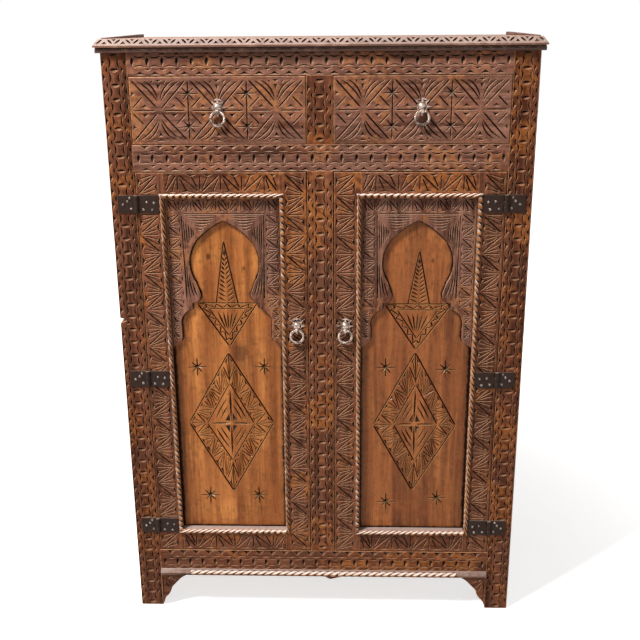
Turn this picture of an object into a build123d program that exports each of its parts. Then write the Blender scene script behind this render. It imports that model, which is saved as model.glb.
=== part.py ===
"""Moroccan carved cabinet: two drawers over a two-door cupboard, in frame-and-panel joinery.

The cabinet stands on the floor at z = 0, its front faces -Y and its middle is at x = 0.
Sizes are millimetres. Each wooden board, iron fitting and pull is a separate solid, and each
named piece is written to its own file in parts/. The shallow surface carving isn't cut here:
the boards have their real outlines, joints, grooves and holes.
"""
from build123d import *
import os

# ---------------------------------------------------------------- carcass sizes
body_width = 804.0  # outer faces of the left and right posts
body_depth = 430.0  # face of the front posts to the back of the rear posts

# heights stacked from the floor
leg_clearance = 81.0
bottom_rail_height = 58.0
door_opening_height = 819.0
middle_rail_height = 50.0
drawer_opening_height = 126.0
top_rail_height = 51.0
top_thickness = 15.0

post_width = 48.0
post_depth = 45.0
muntin_width = 49.0  # upright between the two drawers and between the two doors
rail_thickness = 24.0
foot_chamfer = 6.0

# mortice and tenon joints
tenon_length = 20.0
tenon_thickness = 8.0
tenon_shoulder = 10.0  # more than the grooves are deep
muntin_tenon_length = 15.0

# side and back frames
side_inset = 4.0  # side rails stand back from the outer face of the posts
side_rail_thickness = 22.0
side_top_rail_height = 70.0
panel_thickness = 8.0
groove_depth = 8.0
panel_play = 1.0  # room for a panel to swell at the bottom of its groove

# top board, the bead under it and the low strips along its ends
top_overhang_front = 14.0
top_overhang_side = 9.5
top_bevel_height = 12.0
top_bevel_run = 9.0
top_corner_radius = 7.0
bead_height = 7.5
bead_reach_front = 10.0
bead_reach_side = 7.0
quirk_height = 2.5  # shadow groove between the bead and the top board
quirk_depth = 4.0
gallery_width = 10.0
gallery_back_height = 6.5
gallery_front_height = 1.5
gallery_setback = 12.0
gallery_back_gap = 90.0  # the strips stop this far short of the back
gallery_inset = 1.0

# boards inside
board_thickness = 14.0
board_play = 1.0
shelf_rise = 395.0  # upper face of the shelf above the cupboard floor
shelf_setback = 32.0
deck_thickness = 12.0
cleat_width = 16.0
cleat_height = 18.0
guide_height = 30.0

# base moulding with its rope, brackets and pointed drop
base_strip_height = 12.0
base_strip_reach = 8.0
base_strip_flat = 2.0
base_strip_nose = 4.0
base_rope_radius = 5.5
base_rope_setback = 4.5  # the rope stops this far short of the brackets
bracket_width = 62.0
bracket_height = 71.0
bracket_thickness = 22.0
bracket_reach = 5.0
bracket_scoop_width = 49.5
bracket_scoop_drop = 5.5
bracket_neck_width = 37.0
bracket_neck_drop = 17.0
bracket_step_width = 22.0
bracket_step_drop = 33.0
bracket_step_size = 2.5
bracket_heel_drop = 43.0
bracket_shin_width = 9.0
bracket_shin_drop = 57.0
drop_reach_left = 26.0
drop_reach_right = 50.0
drop_height = 13.5
drop_offset = 16.0  # the drop's point was cut this far right of the middle

# ---------------------------------------------------------------- doors
door_gap = 2.0
door_thickness = 24.0
door_stile_width = 52.0
door_rail_width = 49.0
door_panel_depth = 14.0  # face of the panel behind the face of the frame
door_panel_thickness = 6.0
overlay_thickness = 8.0
rope_width = 9.0
rope_foot = 1.5  # square-sided foot of the rope moulding

# keyhole arch of the overlay: distances in from the side of the door's opening, and drops below its top
arch_apex_drop = 44.0
arch_haunch_spread = 1.5  # how far the haunch swells out of the chord from apex to brow
arch_haunch_lift = 4.0
arch_brow_inset = 55.75
arch_brow_drop = 85.0
arch_belly_inset = 41.25
arch_belly_drop = 126.0
arch_flank_inset = 52.75
arch_flank_drop = 169.0
waist_inset = 60.75
waist_drop = 193.0
waist_curve_inset = 55.75
waist_curve_drop = 206.5
cusp_inset = 43.25
cusp_drop = 211.0
step_drop = 223.0
lobe_curve_inset = 25.75
lobe_curve_drop = 234.5
lobe_inset = 19.75
lobe_drop = 262.0
tail_curve_inset = 17.25
tail_curve_drop = 290.0
tail_start_drop = 278.0
tail_inset = 12.75
tail_drop = 294.0
overlay_drop = 304.0  # where the tails run out against the frame

# ---------------------------------------------------------------- drawers
drawer_gap = 1.5
drawer_front_thickness = 20.0
drawer_side_thickness = 12.0
drawer_side_step = 8.0  # the sides are this much lower than the front
drawer_back_room = 29.0  # between the back of a closed drawer and the back panel
drawer_bottom_thickness = 6.0
drawer_bottom_lift = 8.0
drawer_groove = 5.0

# ---------------------------------------------------------------- hinges
hinge_low_rise = 61.0  # middle of the lowest hinge above the bottom of the door opening
hinge_high_drop = 62.0  # middle of the highest hinge below the top of the door opening
hinge_middle_sink = 11.0  # the third hinge hangs this far below halfway
hinge_height = 34.0
hinge_leaf_thickness = 2.0
frame_leaf_width = 36.0
door_leaf_width = 43.0
knuckle_radius = 4.0
knuckle_gap = 0.3
pin_radius = 2.0
pin_clearance = 0.05
nail_shank_radius = 1.1
nail_shank_length = 16.0
nail_head_radius = 3.2
nail_head_height = 2.2
# nails of a leaf: distance out from the hinge pin, and height above the middle of the leaf
frame_leaf_nails = ((26.0, -1.0), (17.5, 5.5), (10.5, -9.0), (12.5, 12.0))
door_leaf_nails = ((20.0, 4.0), (34.0, 2.5), (13.0, -10.0), (30.0, -11.0))

# ---------------------------------------------------------------- ring pulls
rosette_thickness = 1.5
rosette_radius = 9.5
ray_count = 8
ray_root_radius = 8.5
ray_reach = 18.5
ray_half_width = 2.0
crest_half_width = 9.0
crest_foot_rise = 11.0
crest_rise = 16.0
crest_thickness = 3.0
boss_radius = 8.6
boss_height = 6.8
ring_radius = 12.7
ring_tube_radius = 3.1
ring_drop = 7.6  # hinge line of the ring below the middle of the boss
ring_stand = 7.6  # hinge line of the ring in front of the board
lug_width = 5.0
lug_wall = 1.5
lug_play = 0.35
lug_neck_height = 8.0
stud_radius = 2.5
stud_play = 0.3
stud_tail = 1.5
nut_size = 10.0
nut_thickness = 4.0
thread_play = 0.05
drawer_pull_rise = 69.0  # boss above the bottom of the drawer opening
door_pull_drop = 307.0  # boss below the top of the door opening
door_pull_inset = 21.5  # boss in from the meeting edge of the door

# ---------------------------------------------------------------- places worked out from the sizes
hinge_high_rise = door_opening_height - hinge_high_drop
hinge_middle_rise = (hinge_low_rise + hinge_high_rise) / 2 - hinge_middle_sink
hinge_rises = (hinge_low_rise, hinge_middle_rise, hinge_high_rise)
post_inner = body_width / 2 - post_width
post_x = body_width / 2 - post_width / 2
opening_width = post_inner - muntin_width / 2
door_low = leg_clearance + bottom_rail_height
door_high = door_low + door_opening_height
drawer_low = door_high + middle_rail_height
drawer_high = drawer_low + drawer_opening_height
post_top = drawer_high + top_rail_height
overall_height = post_top + top_thickness
front_y = (top_overhang_front - body_depth) / 2  # puts the origin under the middle of the whole
back_y = front_y + body_depth
rail_back_y = front_y + rail_thickness
rail_mid_y = front_y + rail_thickness / 2
side_rail_x = body_width / 2 - side_inset - side_rail_thickness / 2
rear_rail_y = back_y - side_rail_thickness / 2
panel_low = door_low - board_thickness  # the cupboard floor lies on the low side rails
panel_high = post_top - side_top_rail_height
board_back_y = rear_rail_y - panel_thickness / 2 - board_play
board_half = post_inner - board_play
front_rail_spans = ((leg_clearance, door_low), (door_high, drawer_low), (drawer_high, post_top))
side_rail_spans = ((leg_clearance, panel_low), (panel_high, post_top))

door_width = opening_width - 2 * door_gap
door_bottom = door_low + door_gap
door_top = door_high - door_gap
door_open_low = door_bottom + door_rail_width
door_open_high = door_top - door_rail_width
door_open_width = door_width - 2 * door_stile_width
door_mid_x = (post_inner + muntin_width / 2) / 2
door_mid_y = front_y + door_thickness / 2
door_panel_y = front_y + door_panel_depth + door_panel_thickness / 2
hinge_x = post_inner - door_gap / 2
hinge_y = front_y - knuckle_radius
leaf_face_y = front_y - hinge_leaf_thickness

drawer_near_x = muntin_width / 2 + drawer_gap
drawer_far_x = post_inner - drawer_gap
drawer_bottom_z = drawer_low + drawer_gap
drawer_top_z = drawer_high - drawer_gap
drawer_side_top_z = drawer_top_z - drawer_side_step
drawer_box_front_y = front_y + drawer_front_thickness
drawer_box_back_y = board_back_y - drawer_back_room
drawer_floor_z = drawer_bottom_z + drawer_bottom_lift

drawer_pull_z = drawer_low + drawer_pull_rise
door_pull_x = muntin_width / 2 + door_gap + door_pull_inset
door_pull_z = door_high - door_pull_drop

os.makedirs("parts", exist_ok=True)

SIDES = (("left", -1), ("right", 1))


def save(builder, name):
    """Labels a finished piece and writes it to its own file."""
    builder.part.label = name
    export_step(builder.part, f"parts/{name}.step")


def spread(middle, size):
    """The two ends of a length that is centred on a place."""
    return (middle - size / 2, middle + size / 2)


def add_board(x_ends, y_ends, z_ends, mode=Mode.ADD):
    """A square-edged board, or the space for one, in the part that is being built."""
    with Locations(tuple(sum(ends) / 2 for ends in (x_ends, y_ends, z_ends))):
        Box(*(abs(ends[1] - ends[0]) for ends in (x_ends, y_ends, z_ends)), mode=mode)


def front_plane(depth):
    """An upright plane this far behind the front face, with X to the right and Z up."""
    return Plane(origin=(0, front_y + depth, 0), x_dir=(1, 0, 0), z_dir=(0, -1, 0))


def section_plane(x, y, forward):
    """A plane for the section of a moulding: its own x points out of the cabinet, its y up."""
    return Plane(origin=(x, y, 0), x_dir=forward, z_dir=Vector(*forward).cross(Vector(0, 0, 1)))


def cut_holes(places, radius, depth):
    """Round holes that run straight back from places on the front."""
    with Locations(*places):
        Cylinder(
            radius,
            depth,
            rotation=(90, 0, 0),
            align=(Align.CENTER, Align.CENTER, Align.MAX),
            mode=Mode.SUBTRACT,
        )


def add_pins(places, radius, length):
    """Round pins that run straight back from places on the front."""
    with Locations(*places):
        Cylinder(radius, length, rotation=(90, 0, 0), align=(Align.CENTER, Align.CENTER, Align.MAX))


def add_domes(places, radius, height):
    """Low domes that stand out from places on the front."""
    ball = (radius**2 + height**2) / (2 * height)
    with BuildPart(mode=Mode.PRIVATE) as dome:
        with BuildSketch(Plane.XZ):
            with Locations((0, height - ball)):
                Circle(ball)
            with Locations((-ball, 0)):
                Rectangle(2 * ball, 2 * ball + height, mode=Mode.SUBTRACT)
            with Locations((0, -ball)):
                Rectangle(4 * ball, 2 * ball, mode=Mode.SUBTRACT)
        revolve(axis=Axis.Z)
    with Locations(*places):
        add(dome.part, rotation=(90, 0, 0))


# ---------------------------------------------------------------- posts, rails and panels


def hinge_nail_places(side, outwards, nails):
    """Where the nails of one kind of leaf stand, on all the hinges of one side."""
    return [
        (side * (hinge_x + outwards * reach), leaf_face_y, door_low + rise + height)
        for rise in hinge_rises
        for reach, height in nails
    ]


def make_post(side, is_front):
    """A corner post, morticed for its rails and grooved for the panels beside it."""
    y_ends = (front_y, front_y + post_depth) if is_front else (back_y, back_y - post_depth)
    into_post = -1 if is_front else 1
    rail_y = rail_mid_y if is_front else rear_rail_y
    with BuildPart() as piece:
        with BuildSketch():
            with Locations((side * post_x, sum(y_ends) / 2)):
                Rectangle(post_width, post_depth)
        extrude(amount=post_top)
        chamfer(piece.faces().sort_by(Axis.Z)[0].edges(), foot_chamfer)
        for z_low, z_high in front_rail_spans if is_front else side_rail_spans:
            add_board(
                (side * post_inner, side * (post_inner + tenon_length)),
                spread(rail_y, tenon_thickness),
                (z_low + tenon_shoulder, z_high - tenon_shoulder),
                Mode.SUBTRACT,
            )
        for z_low, z_high in side_rail_spans:
            add_board(
                spread(side * side_rail_x, tenon_thickness),
                (y_ends[1], y_ends[1] + into_post * tenon_length),
                (z_low + tenon_shoulder, z_high - tenon_shoulder),
                Mode.SUBTRACT,
            )
        add_board(
            spread(side * side_rail_x, panel_thickness),
            (y_ends[1], y_ends[1] + into_post * groove_depth),
            (panel_low - groove_depth, panel_high + groove_depth),
            Mode.SUBTRACT,
        )
        if is_front:
            cut_holes(hinge_nail_places(side, 1, frame_leaf_nails), nail_shank_radius, nail_shank_length)
        else:
            add_board(
                (side * post_inner, side * (post_inner + groove_depth)),
                spread(rear_rail_y, panel_thickness),
                (panel_low - groove_depth, panel_high + groove_depth),
                Mode.SUBTRACT,
            )
    return piece


def add_cross_rail(y_middle, thickness, z_ends):
    """A rail from post to post, with a tenon on each end."""
    add_board((-post_inner, post_inner), spread(y_middle, thickness), z_ends)
    add_board(
        (-post_inner - tenon_length, post_inner + tenon_length),
        spread(y_middle, tenon_thickness),
        (z_ends[0] + tenon_shoulder, z_ends[1] - tenon_shoulder),
    )


def cut_muntin_mortice(z_face, upwards):
    """A mortice in a front rail for the tenon of the upright that meets it."""
    add_board(
        spread(0, muntin_width - 2 * tenon_shoulder),
        spread(rail_mid_y, tenon_thickness),
        (z_face, z_face + upwards * muntin_tenon_length),
        Mode.SUBTRACT,
    )


def make_muntin(z_low, z_high):
    """The upright between two openings, tenoned into the rails below and above it."""
    with BuildPart() as piece:
        add_board(spread(0, muntin_width), (front_y, rail_back_y), (z_low, z_high))
        add_board(
            spread(0, muntin_width - 2 * tenon_shoulder),
            spread(rail_mid_y, tenon_thickness),
            (z_low - muntin_tenon_length, z_high + muntin_tenon_length),
        )
    return piece


for name, side in SIDES:
    save(make_post(side, True), f"post_front_{name}")
    save(make_post(side, False), f"post_rear_{name}")

with BuildPart() as bottom_rail:
    add_cross_rail(rail_mid_y, rail_thickness, (leg_clearance, door_low))
    with BuildSketch(front_plane(0)):
        with BuildLine():
            Polyline(
                (drop_offset - drop_reach_left, leg_clearance),
                (drop_offset, leg_clearance - drop_height),
                (drop_offset + drop_reach_right, leg_clearance),
                close=True,
            )
        make_face()
    extrude(amount=-rail_thickness)
    cut_muntin_mortice(door_low, -1)
save(bottom_rail, "bottom_rail")

with BuildPart() as middle_rail:
    add_cross_rail(rail_mid_y, rail_thickness, (door_high, drawer_low))
    cut_muntin_mortice(door_high, 1)
    cut_muntin_mortice(drawer_low, -1)
save(middle_rail, "middle_rail")

with BuildPart() as top_rail:
    add_cross_rail(rail_mid_y, rail_thickness, (drawer_high, post_top))
    cut_muntin_mortice(drawer_high, 1)
save(top_rail, "top_rail")

save(make_muntin(door_low, door_high), "door_muntin")
save(make_muntin(drawer_low, drawer_high), "drawer_muntin")

with BuildPart() as side_rails:
    side_rail_ends = (front_y + post_depth, back_y - post_depth)
    for _, side in SIDES:
        for z_low, z_high in side_rail_spans:
            add_board(spread(side * side_rail_x, side_rail_thickness), side_rail_ends, (z_low, z_high))
            add_board(
                spread(side * side_rail_x, tenon_thickness),
                (side_rail_ends[0] - tenon_length, side_rail_ends[1] + tenon_length),
                (z_low + tenon_shoulder, z_high - tenon_shoulder),
            )
        for z_face, into_rail in ((panel_low, -1), (panel_high, 1)):
            add_board(
                spread(side * side_rail_x, panel_thickness),
                side_rail_ends,
                (z_face, z_face + into_rail * groove_depth),
                Mode.SUBTRACT,
            )
save(side_rails, "side_rails")

with BuildPart() as rear_rails:
    for z_ends in side_rail_spans:
        add_cross_rail(rear_rail_y, side_rail_thickness, z_ends)
    for z_face, into_rail in ((panel_low, -1), (panel_high, 1)):
        add_board(
            (-post_inner, post_inner),
            spread(rear_rail_y, panel_thickness),
            (z_face, z_face + into_rail * groove_depth),
            Mode.SUBTRACT,
        )
save(rear_rails, "rear_rails")

panel_bite = groove_depth - panel_play
for name, side in SIDES:
    with BuildPart() as side_panel:
        add_board(
            spread(side * side_rail_x, panel_thickness),
            (front_y + post_depth - panel_bite, back_y - post_depth + panel_bite),
            (panel_low - panel_bite, panel_high + panel_bite),
        )
    save(side_panel, f"side_panel_{name}")

with BuildPart() as back_panel:
    add_board(
        (-post_inner - panel_bite, post_inner + panel_bite),
        spread(rear_rail_y, panel_thickness),
        (panel_low - panel_bite, panel_high + panel_bite),
    )
save(back_panel, "back_panel")

# ---------------------------------------------------------------- top


def draw_top_outline(inset, corner_radius):
    """The outline of the top board, drawn in from its front and its ends."""
    half = body_width / 2 + top_overhang_side - inset
    y_ends = (front_y - top_overhang_front + inset, back_y)
    with Locations((0, sum(y_ends) / 2)):
        outline = Rectangle(2 * half, y_ends[1] - y_ends[0])
    fillet(outline.vertices().group_by(Axis.Y)[0], corner_radius)


def draw_bead(reach):
    """Section of the bead: a half-round nose, a shadow groove above it and a flat back."""
    nose = bead_height / 2
    low = post_top - bead_height - quirk_height
    with BuildLine() as outline:
        Polyline((reach - quirk_depth, post_top), (0, post_top), (0, low), (reach - nose, low))
        ThreePointArc((reach - nose, low), (reach, low + nose), (reach - nose, low + bead_height))
        Polyline(
            (reach - nose, low + bead_height),
            (reach - quirk_depth, low + bead_height),
            (reach - quirk_depth, post_top),
        )
    make_face(outline.edges())


top_edge_height = top_thickness - top_bevel_height
with BuildPart() as top_board:
    with BuildSketch(Plane.XY.offset(post_top)):
        draw_top_outline(0, top_corner_radius)
    extrude(amount=top_edge_height)
    with BuildSketch(Plane.XY.offset(post_top + top_edge_height)):
        draw_top_outline(0, top_corner_radius)
    with BuildSketch(Plane.XY.offset(overall_height)):
        draw_top_outline(top_bevel_run, top_corner_radius / 2)
    loft()
save(top_board, "top_board")

bead_half = body_width / 2 + bead_reach_side
with BuildPart() as top_moulding:
    with BuildSketch(section_plane(bead_half, front_y, (0, -1, 0))):
        draw_bead(bead_reach_front)
    extrude(amount=2 * bead_half)
    with BuildSketch(section_plane(body_width / 2, back_y, (1, 0, 0))):
        draw_bead(bead_reach_side)
    extrude(amount=body_depth)
    with BuildSketch(section_plane(-body_width / 2, front_y, (-1, 0, 0))):
        draw_bead(bead_reach_side)
    extrude(amount=body_depth)
save(top_moulding, "top_moulding")

with BuildPart() as gallery_strips:
    outer_x = body_width / 2 + top_overhang_side - top_bevel_run - gallery_inset
    for x_low in (-outer_x, outer_x - gallery_width):
        with BuildSketch(Plane(origin=(x_low, 0, overall_height), x_dir=(0, 1, 0), z_dir=(1, 0, 0))):
            with BuildLine():
                Polyline(
                    (front_y + gallery_setback, 0),
                    (back_y - gallery_back_gap, 0),
                    (back_y - gallery_back_gap, gallery_back_height),
                    (front_y + gallery_setback, gallery_front_height),
                    close=True,
                )
            make_face()
        extrude(amount=gallery_width)
save(gallery_strips, "gallery_strips")

# ---------------------------------------------------------------- boards inside

with BuildPart() as bottom_board:
    floor_half = side_rail_x - panel_thickness / 2 - board_play
    add_board((-floor_half, floor_half), (rail_back_y, board_back_y), (panel_low, door_low))
    for _, side in SIDES:
        for y_face, y_end in (
            (front_y + post_depth + board_play, front_y),
            (back_y - post_depth - board_play, back_y),
        ):
            add_board(
                (side * board_half, side * body_width), (y_face, y_end), (panel_low, door_low), Mode.SUBTRACT
            )
save(bottom_board, "bottom_board")

shelf_top = door_low + shelf_rise
shelf_low = shelf_top - board_thickness
with BuildPart() as shelf:
    add_board((-board_half, board_half), (front_y + shelf_setback, board_back_y), (shelf_low, shelf_top))
save(shelf, "shelf")

deck_low = drawer_low - deck_thickness
with BuildPart() as drawer_deck:
    add_board((-board_half, board_half), (rail_back_y, board_back_y), (deck_low, drawer_low))
save(drawer_deck, "drawer_deck")

with BuildPart() as drawer_guide:
    add_board(spread(0, muntin_width), (rail_back_y, board_back_y), (drawer_low, drawer_low + guide_height))
save(drawer_guide, "drawer_guide")

with BuildPart() as cleats:
    for _, side in SIDES:
        x_ends = (side * (post_inner - cleat_width), side * post_inner)
        add_board(x_ends, (front_y + shelf_setback, board_back_y), (shelf_low - cleat_height, shelf_low))
        add_board(x_ends, (rail_back_y, board_back_y), (deck_low - cleat_height, deck_low))
save(cleats, "cleats")

# ---------------------------------------------------------------- base moulding, rope and brackets

base_rope_y = front_y - base_strip_reach
base_rope_z = leg_clearance + base_strip_height / 2
base_rope_length = 2 * (post_inner - bracket_width - base_rope_setback)
with BuildPart() as base_moulding:
    with BuildSketch(section_plane(post_inner, front_y, (0, -1, 0))):
        with Locations((0, leg_clearance)):
            Polygon(
                (0, 0),
                (base_strip_reach, 0),
                (base_strip_reach, base_strip_nose),
                (base_strip_flat, base_strip_height),
                (0, base_strip_height),
                align=None,
            )
    extrude(amount=2 * post_inner)
    with Locations((0, base_rope_y, base_rope_z)):
        Cylinder(base_rope_radius, base_rope_length, rotation=(0, 90, 0), mode=Mode.SUBTRACT)
save(base_moulding, "base_moulding")

with BuildPart() as base_rope:
    with Locations((0, base_rope_y, base_rope_z)):
        Cylinder(base_rope_radius, base_rope_length, rotation=(0, 90, 0))
save(base_rope, "base_rope")


def draw_bracket(side):
    """The bracket's outline: points are given in from the post and down from the rail."""

    def at(width, drop):
        return (side * (post_inner - width), leg_clearance - drop)

    neck = at(bracket_neck_width, bracket_neck_drop)
    heel = at(bracket_step_width - bracket_step_size, bracket_heel_drop)
    with BuildLine() as outline:
        Line(at(0, 0), at(bracket_width, 0))
        ThreePointArc(at(bracket_width, 0), at(bracket_scoop_width, bracket_scoop_drop), neck)
        Polyline(neck, at(bracket_step_width, bracket_step_drop), heel)
        ThreePointArc(heel, at(bracket_shin_width, bracket_shin_drop), at(0, bracket_height))
        Line(at(0, bracket_height), at(0, 0))
    make_face(outline.edges())


with BuildPart() as front_brackets:
    for _, side in SIDES:
        with BuildSketch(front_plane(-bracket_reach)):
            draw_bracket(side)
        extrude(amount=-bracket_thickness)
save(front_brackets, "front_brackets")

# ---------------------------------------------------------------- hinges

third = hinge_height / 3
frame_knuckles = (
    (-hinge_height / 2, -third / 2 - knuckle_gap / 2),
    (third / 2 + knuckle_gap / 2, hinge_height / 2),
)
door_knuckles = ((-third / 2 + knuckle_gap / 2, third / 2 - knuckle_gap / 2),)


def add_hinge_leaves(side, outwards, width, knuckles, bore):
    """The leaves of one kind on all the hinges of one side, each with its knuckles."""
    plate_root = knuckle_radius + knuckle_gap
    for rise in hinge_rises:
        middle = door_low + rise
        add_board(
            (side * (hinge_x + outwards * plate_root), side * (hinge_x + outwards * width)),
            (leaf_face_y, front_y),
            spread(middle, hinge_height),
        )
        for low, high in knuckles:
            add_board(
                (side * hinge_x, side * (hinge_x + outwards * plate_root)),
                (leaf_face_y, front_y),
                (middle + low, middle + high),
            )
            with Locations((side * hinge_x, hinge_y, middle + (low + high) / 2)):
                Cylinder(knuckle_radius, high - low)
                Cylinder(bore, high - low, mode=Mode.SUBTRACT)


with BuildPart() as hinge_frame_leaves:
    for _, side in SIDES:
        add_hinge_leaves(side, 1, frame_leaf_width, frame_knuckles, pin_radius)
        cut_holes(hinge_nail_places(side, 1, frame_leaf_nails), nail_shank_radius, nail_shank_length)
save(hinge_frame_leaves, "hinge_frame_leaves")

with BuildPart() as hinge_pins:
    for _, side in SIDES:
        with Locations(*((side * hinge_x, hinge_y, door_low + rise) for rise in hinge_rises)):
            Cylinder(pin_radius, hinge_height)
save(hinge_pins, "hinge_pins")


def make_nails(sides, outwards, nails):
    """Dome-headed nails for one kind of leaf."""
    places = [place for side in sides for place in hinge_nail_places(side, outwards, nails)]
    with BuildPart() as piece:
        add_pins(places, nail_shank_radius, nail_shank_length)
        add_domes(places, nail_head_radius, nail_head_height)
    return piece


save(make_nails((-1, 1), 1, frame_leaf_nails), "hinge_frame_nails")

# ---------------------------------------------------------------- ring pulls


def draw_crest(x, z):
    """The crescent that arches over the boss."""
    with BuildLine() as outline:
        ThreePointArc(
            (x - crest_half_width, z + crest_foot_rise),
            (x, z + crest_rise),
            (x + crest_half_width, z + crest_foot_rise),
        )
        ThreePointArc(
            (x + crest_half_width, z + crest_foot_rise),
            (x, z + crest_rise - crest_thickness),
            (x - crest_half_width, z + crest_foot_rise),
        )
    make_face(outline.edges())


def make_pull_mount(x, z, board):
    """Rosette, domed boss and ring lug in one casting, with a threaded stud and its nut."""
    face = front_y - rosette_thickness
    lug_radius = ring_tube_radius + lug_play + lug_wall
    with BuildPart() as piece:
        add_board(
            spread(x, nut_size), (front_y + board, front_y + board + nut_thickness), spread(z, nut_size)
        )
        cut_holes([(x, front_y, z)], stud_radius + thread_play, board + nut_thickness)
        add_pins([(x, front_y, z)], stud_radius, board + nut_thickness + stud_tail)
        with BuildSketch(front_plane(-rosette_thickness)):
            with Locations((x, z)):
                Circle(rosette_radius)
                with PolarLocations(ray_root_radius, ray_count, start_angle=90):
                    Polygon(
                        (0, -ray_half_width),
                        (ray_reach - ray_root_radius, 0),
                        (0, ray_half_width),
                        align=None,
                    )
            draw_crest(x, z)
        extrude(amount=-rosette_thickness)
        add_domes([(x, face, z)], boss_radius, boss_height)
        add_board(
            spread(x, lug_width),
            (front_y - ring_stand, front_y - rosette_thickness / 2),
            spread(z - ring_drop, lug_neck_height),
        )
        with Locations((x, front_y - ring_stand, z - ring_drop)):
            Cylinder(lug_radius, lug_width, rotation=(0, 90, 0))
            Cylinder(ring_tube_radius + lug_play, 2 * boss_radius, rotation=(0, 90, 0), mode=Mode.SUBTRACT)
    return piece


def make_pull_ring(x, z):
    """The ring, hanging straight down from the lug."""
    with BuildPart() as piece:
        with Locations((x, front_y - ring_stand, z - ring_drop - ring_radius)):
            Torus(ring_radius, ring_tube_radius, rotation=(90, 0, 0))
    return piece


# ---------------------------------------------------------------- doors


def draw_arch_half():
    """Right half of the keyhole hollow, about the middle line of the door."""
    edge = door_open_width / 2

    def at(inset, drop):
        return (edge - inset, door_open_high - drop)

    apex = (0, door_open_high - arch_apex_drop)
    brow = at(arch_brow_inset, arch_brow_drop)
    haunch = (
        (apex[0] + brow[0]) / 2 + arch_haunch_spread,
        (apex[1] + brow[1]) / 2 + arch_haunch_lift,
    )
    flank = at(arch_flank_inset, arch_flank_drop)
    waist = at(waist_inset, waist_drop)
    cusp = at(cusp_inset, cusp_drop)
    step = at(cusp_inset, step_drop)
    lobe = at(lobe_inset, lobe_drop)
    tail_start = at(lobe_inset, tail_start_drop)
    tail = at(tail_inset, tail_drop)
    with BuildLine() as outline:
        ThreePointArc(apex, haunch, brow)
        ThreePointArc(brow, at(arch_belly_inset, arch_belly_drop), flank)
        Line(flank, waist)
        ThreePointArc(waist, at(waist_curve_inset, waist_curve_drop), cusp)
        Line(cusp, step)
        ThreePointArc(step, at(lobe_curve_inset, lobe_curve_drop), lobe)
        Line(lobe, tail_start)
        ThreePointArc(tail_start, at(tail_curve_inset, tail_curve_drop), tail)
        Polyline(tail, at(0, overlay_drop), (0, door_open_high - overlay_drop), apex)
    make_face(outline.edges())


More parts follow.
